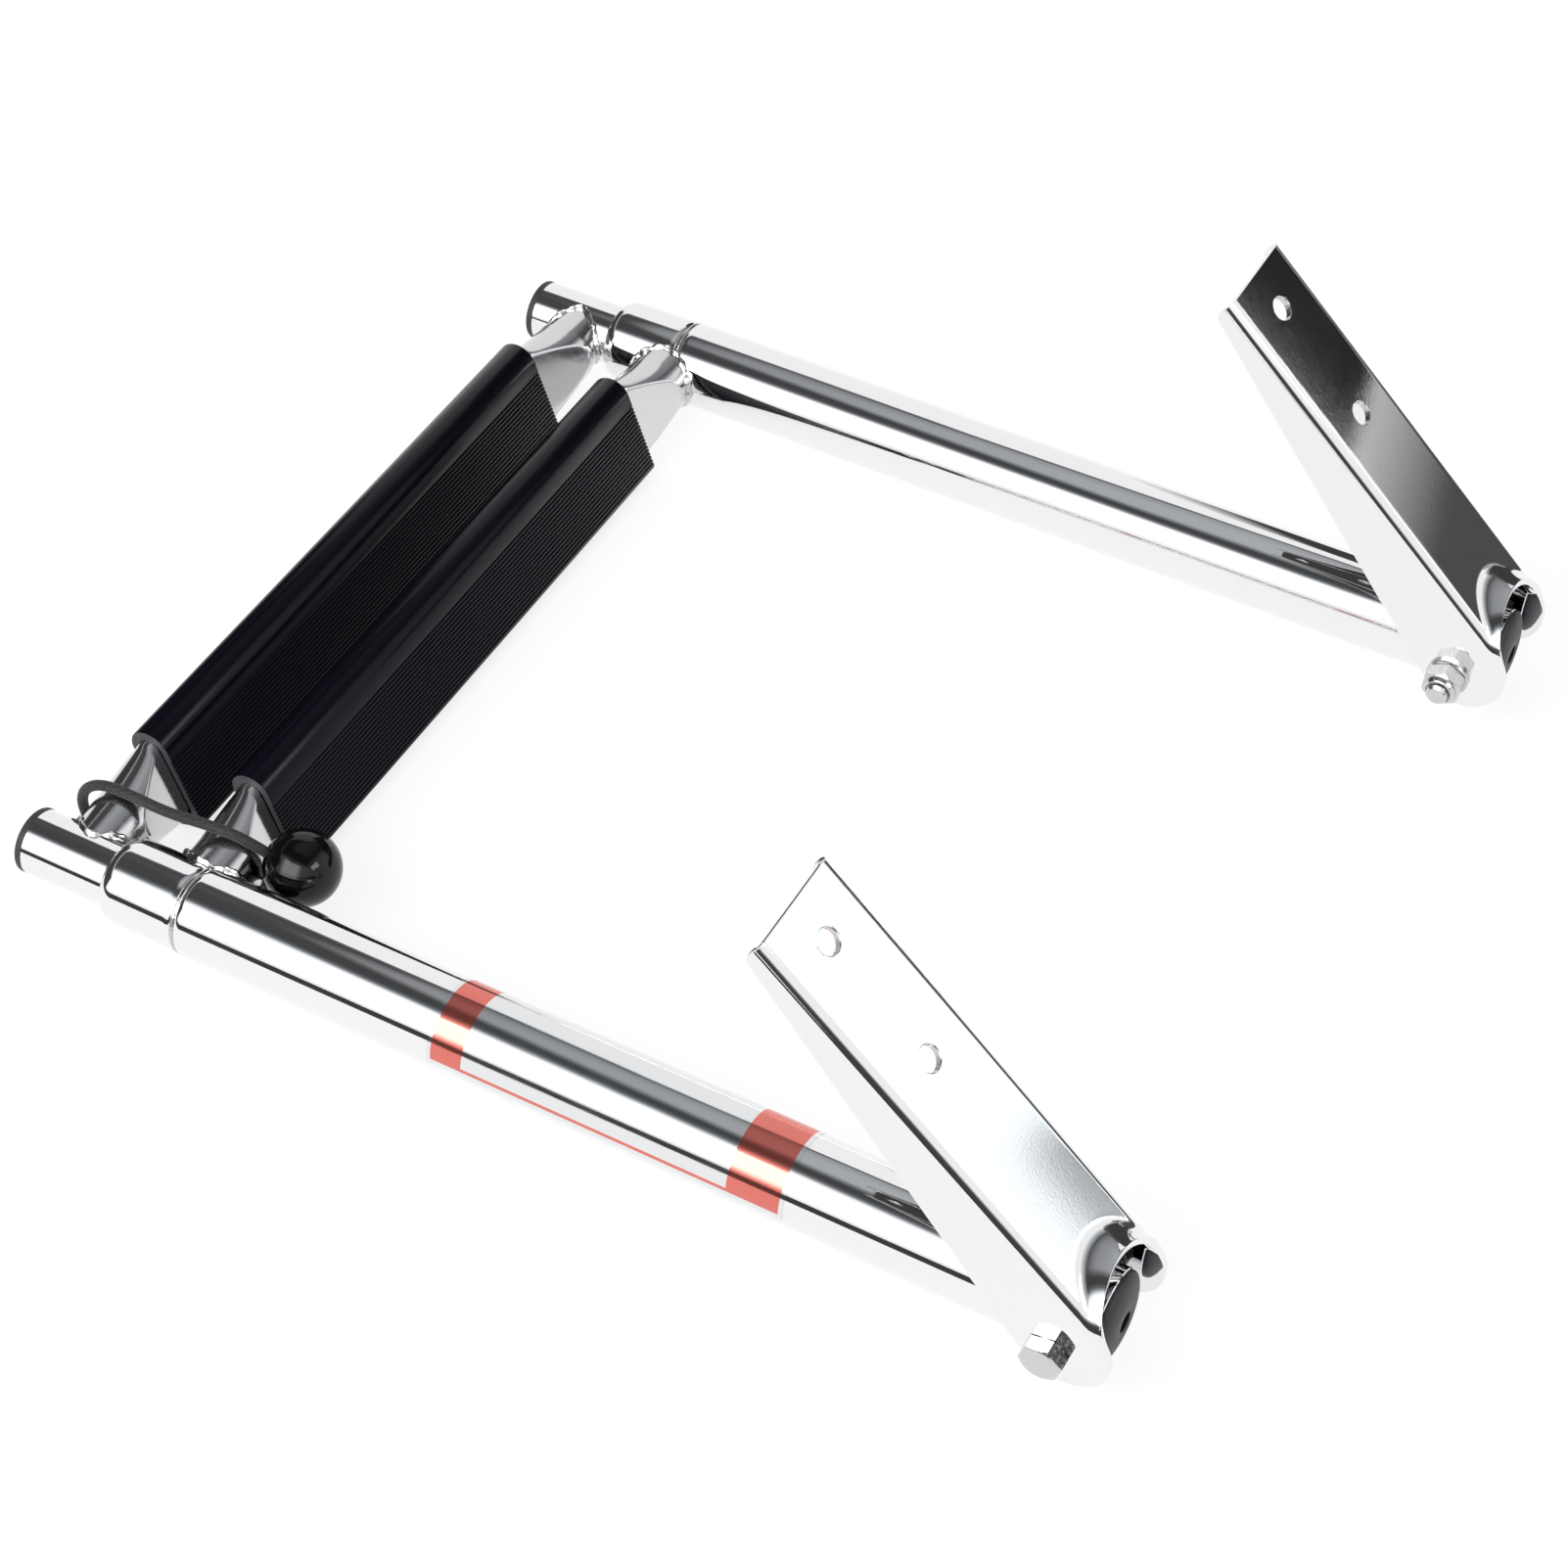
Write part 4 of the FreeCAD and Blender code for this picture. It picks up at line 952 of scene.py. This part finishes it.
def make_ball():
    """Glossy ball, dimpled where the cord goes in, with a faint moulding line."""
    low, high = box_mm("bungee_ball")
    centre, radius = (low + high) / 2, (high.z - low.z) / 2 + BALL_EXTRA
    axis = Vector((0.25, -0.35, 0.9)).normalized()
    entries = [(Vector((x, TIP_Y + along, AXIS_Z + up)) - centre).normalized()
               for x, along, up in (CORD_ROUTE[1], CORD_ROUTE[-2])]
    bm = bmesh.new()
    bmesh.ops.create_icosphere(bm, subdivisions=6, radius=1)
    for vert in bm.verts:
        way = vert.co.normalized()
        size = radius - 0.05 * math.exp(-(way.dot(axis) * radius / 0.25) ** 2)
        for entry in entries:
            apart = way.angle(entry) * radius
            size -= DIMPLE_DEPTH * (1 - eased((apart - DIMPLE_RADIUS) / 0.9))
        vert.co = way * size
    moved(bm, UPRIGHT, *centre)
    finish("cord_ball", bm, BALL, "outer_frame", ["bungee_ball"], sharp=80)


# ---------- Finishes ----------

HANDLING = make_handling_group()
GRAIN = make_grain_group()


def brushed_steel():
    """Rolled stainless sheet: bright, with short strokes along the web of the bracket."""
    material, tree, shader = new_material("fine_brushed_stainless", (0.84, 0.84, 0.85), 1, 0.06)
    place = add_node("place", "TexCoord", tree, -1300, -200)
    level = add_node("web_level", "Mapping", tree, -1100, -200,
                     Rotation=(math.radians(BRACKET_ANGLE), 0, 0), Scale=(1400, 40, 1400))
    strokes = add_node("strokes", "TexNoise", tree, -900, -200, Scale=1.0, Detail=3.0,
                       Roughness=0.6)
    marks = add_group(HANDLING, tree, -700, 100, Smoothest=0.03, Roughest=0.055, Relief=0.015)
    relief = add_node("stroke_relief", "Bump", tree, -350, -200, Strength=0.05, Distance=0.0001)
    wire(tree, (place, "Object", level, "Vector"), (level, "Vector", strokes, "Vector"),
         (strokes, "Fac", relief, "Height"), (marks, "Normal", relief, "Normal"),
         (marks, "Roughness", shader, "Roughness"), (relief, "Normal", shader, "Normal"))
    return material


def welded_steel():
    """Lumpy bright weld with a light straw heat tint."""
    material, tree, shader = new_material("bright_weld", (0.6, 0.59, 0.57), 1, 0.14)
    place = add_node("place", "TexCoord", tree, -1100, -200)
    lumps = add_node("lumps", "TexNoise", tree, -900, -200, Scale=420.0, Detail=2.0, Roughness=0.5)
    tint = add_node("tint_patches", "TexNoise", tree, -900, 200, Scale=160.0, Detail=2.0,
                    Roughness=0.5)
    relief = add_node("lump_relief", "Bump", tree, -350, -200, Strength=0.45, Distance=0.0006)
    wire(tree, (place, "Object", lumps, "Vector"), (place, "Object", tint, "Vector"),
         (lumps, "Fac", relief, "Height"), (relief, "Normal", shader, "Normal"))
    shade_between(tree, shader, tint.outputs["Fac"], (0.42, 0.4, 0.37), (0.72, 0.72, 0.72))
    return material


def bright_fixing():
    """Forged and plated bolt faces, slightly pitted."""
    material, tree, shader = new_material("forged_bright_steel", (0.6, 0.6, 0.61), 1, 0.16)
    place = add_node("place", "TexCoord", tree, -1100, -200)
    pits = add_node("pits", "TexNoise", tree, -900, -200, Scale=700.0, Detail=3.0, Roughness=0.7)
    dull = add_node("dull_patches", "MapRange", tree, -600, 100, From_Min=0.35, From_Max=0.65,
                    To_Min=0.1, To_Max=0.3)
    relief = add_node("pit_relief", "Bump", tree, -350, -200, Strength=0.25, Distance=0.0003)
    wire(tree, (place, "Object", pits, "Vector"), (pits, "Fac", dull, "Value"),
         (dull, "Result", shader, "Roughness"), (pits, "Fac", relief, "Height"),
         (relief, "Normal", shader, "Normal"))
    return material


def moulded(name, dark, light, roughness, size, relief, **sockets):
    """Rubber or plastic with a fine grain and a slow drift between two shades."""
    material, tree, shader = new_material(name, dark, 0, roughness, **sockets)
    grain = add_group(GRAIN, tree, -600, 0, Grain_Size=size, Relief=relief)
    shade_between(tree, shader, grain.outputs["Shade"], dark, light)
    wire(tree, (grain, "Normal", shader, "Normal"))
    return material


def extruded_grip():
    """Black extruded grip with faint die lines along its length."""
    material, tree, shader = new_material("black_extruded_grip", (0.0025, 0.003, 0.007), 0, 0.2,
                                          Specular_IOR_Level=0.15)
    place = add_node("place", "TexCoord", tree, -1300, -200)
    along = add_node("along_the_step", "Mapping", tree, -1100, -200, Scale=(4, 1300, 1300))
    lines = add_node("die_lines", "TexNoise", tree, -900, -200, Scale=1.0, Detail=2.0,
                     Roughness=0.6)
    dull = add_node("dull_lines", "MapRange", tree, -600, 0, To_Min=0.14, To_Max=0.3)
    relief = add_node("line_relief", "Bump", tree, -350, -200, Strength=0.06, Distance=0.0002)
    wire(tree, (place, "Object", along, "Vector"), (along, "Vector", lines, "Vector"),
         (lines, "Fac", dull, "Value"), (dull, "Result", shader, "Roughness"),
         (lines, "Fac", relief, "Height"), (relief, "Normal", shader, "Normal"))
    return material


def woven_cord():
    """Black braided cover: strands that cross round the cord, from its own UV map, with painted shade in the
    grooves between them.
    """
    material, tree, shader = new_material("braided_cover", (0.012, 0.012, 0.013), 0, 0.62, Sheen_Weight=0.15)
    place = add_node("place", "TexCoord", tree, -1700, 0)
    split = add_node("along_and_round", "SeparateXYZ", tree, -1500, 0)
    wire(tree, (place, "UV", split, "Vector"))
    hands = []
    for number, hand in enumerate((1, -1)):
        along = add_node(f"turns_{number}", "Math", tree, -1300, 200 - 300 * number,
                         operation="MULTIPLY")
        along.inputs[1].default_value = 260 * hand
        around = add_node(f"round_{number}", "Math", tree, -1300, 50 - 300 * number,
                          operation="MULTIPLY")
        around.inputs[1].default_value = 8 * math.tau
        total = add_node(f"strand_{number}", "Math", tree, -1100, 100 - 300 * number,
                         operation="ADD")
        wave = add_node(f"crown_{number}", "Math", tree, -900, 100 - 300 * number, operation="SINE")
        wire(tree, (split, "X", along, 0), (split, "Y", around, 0), (along, "Value", total, 0),
             (around, "Value", total, 1), (total, "Value", wave, 0))
        hands.append(wave)
    cross = add_node("crossing", "Math", tree, -700, 0, operation="MAXIMUM")
    wire(tree, (hands[0], "Value", cross, 0), (hands[1], "Value", cross, 1))
    relief = add_node("braid_relief", "Bump", tree, -350, -200, Strength=0.35, Distance=0.0003)
    # The colour follows the braid's height: painted shade darkens the grooves and a painted highlight
    # lightens the crowns of the strands.
    lift = add_node("lift", "MapRange", tree, -500, 200, From_Min=-1)
    wire(tree, (cross, "Value", relief, "Height"), (cross, "Value", lift, "Value"),
         (relief, "Normal", shader, "Normal"))
    shade_between(tree, shader, lift.outputs["Result"], (0.004, 0.004, 0.005), (0.016, 0.016, 0.018))
    return material


STEEL = polished_steel("polished_stainless", (0.85, 0.85, 0.86), 0.02, 0.06, 0.015)
RUNG_STEEL = polished_steel("satin_rung_tube", (0.66, 0.66, 0.67), 0.1, 0.2, 0.04)
BRACKET_STEEL = brushed_steel()
WELD_STEEL = welded_steel()
FIXING = bright_fixing()
RUBBER = moulded("black_rubber", (0.036, 0.039, 0.044), (0.05, 0.054, 0.06), 0.5, 1500.0, 0.12,
                 Specular_IOR_Level=0.3)
BUSH = moulded("black_nylon", (0.012, 0.012, 0.013), (0.02, 0.02, 0.022), 0.35, 1200.0, 0.06)
CUT_EDGE = moulded("sawn_grip_edge", (0.03, 0.031, 0.034), (0.06, 0.06, 0.066), 0.55, 2200.0, 0.5)
BALL = moulded("glossy_black_ball", (0.002, 0.002, 0.003), (0.004, 0.004, 0.005), 0.09, 500.0, 0.004,
               Specular_IOR_Level=0.33)
# Near-black material for the wall of the plug's hole: painted shade in the recess.
BORE_PAINTED_SHADE = moulded("dark_plug_bore", (0.002, 0.002, 0.002), (0.004, 0.004, 0.004), 0.7, 1500.0, 0.1,
                    Specular_IOR_Level=0.1)
TREAD = extruded_grip()
CORD = woven_cord()
FILM = polished_steel("film_over_steel", (0.78, 0.79, 0.8), 0.07, 0.14, 0.02)
RED_INK = polished_steel("red_film_over_steel", (0.74, 0.2, 0.165), 0.08, 0.14, 0.02, 0.88)

CAD_FINISHES = {"inner_tube": STEEL, "guide_bush": BUSH}
for name, node in nodes.items():
    kind = name.replace("_right", "").replace("_left", "")
    for material_slot in node.material_slots:
        material_slot.material = CAD_FINISHES.get(kind, STEEL)

make_camera()
cord = make_cord(CORD)
for side_name, side in SIDES.items():
    for make_piece in (make_outer_tube, make_collar, make_seam_weld, make_end_cap, make_end_plug, make_bolt,
                       make_washer, make_nut, make_spacers):
        make_piece(side_name, side)
UPPER_Y = TIP_Y + 64.3
LOWER_Y = TIP_Y + 22.2
make_rung("upper_rung", UPPER_Y, TUBE_RADIUS, RUNG_RADIUS, 143.0, "outer_frame")
make_rung("lower_rung", LOWER_Y, INNER_RADIUS, 11.2, 144.5, "inner_frame")
make_rung_welds("upper_rung", UPPER_Y, TUBE_RADIUS, RUNG_RADIUS, "outer_frame")
make_rung_welds("lower_rung", LOWER_Y, INNER_RADIUS, 11.25, "inner_frame")
make_tread("upper_tread", UPPER_Y, "outer_frame")
make_tread("lower_tread", LOWER_Y, "inner_frame")
make_brackets()
make_ball()
make_film()

make_floor()
make_world()
make_cards()
make_lamp("soft_key", (1.9, -0.6, 1.6), (0, 0, 0), (2.4, 1.6), 26)

bpy.context.scene.view_settings.view_transform = "Standard"
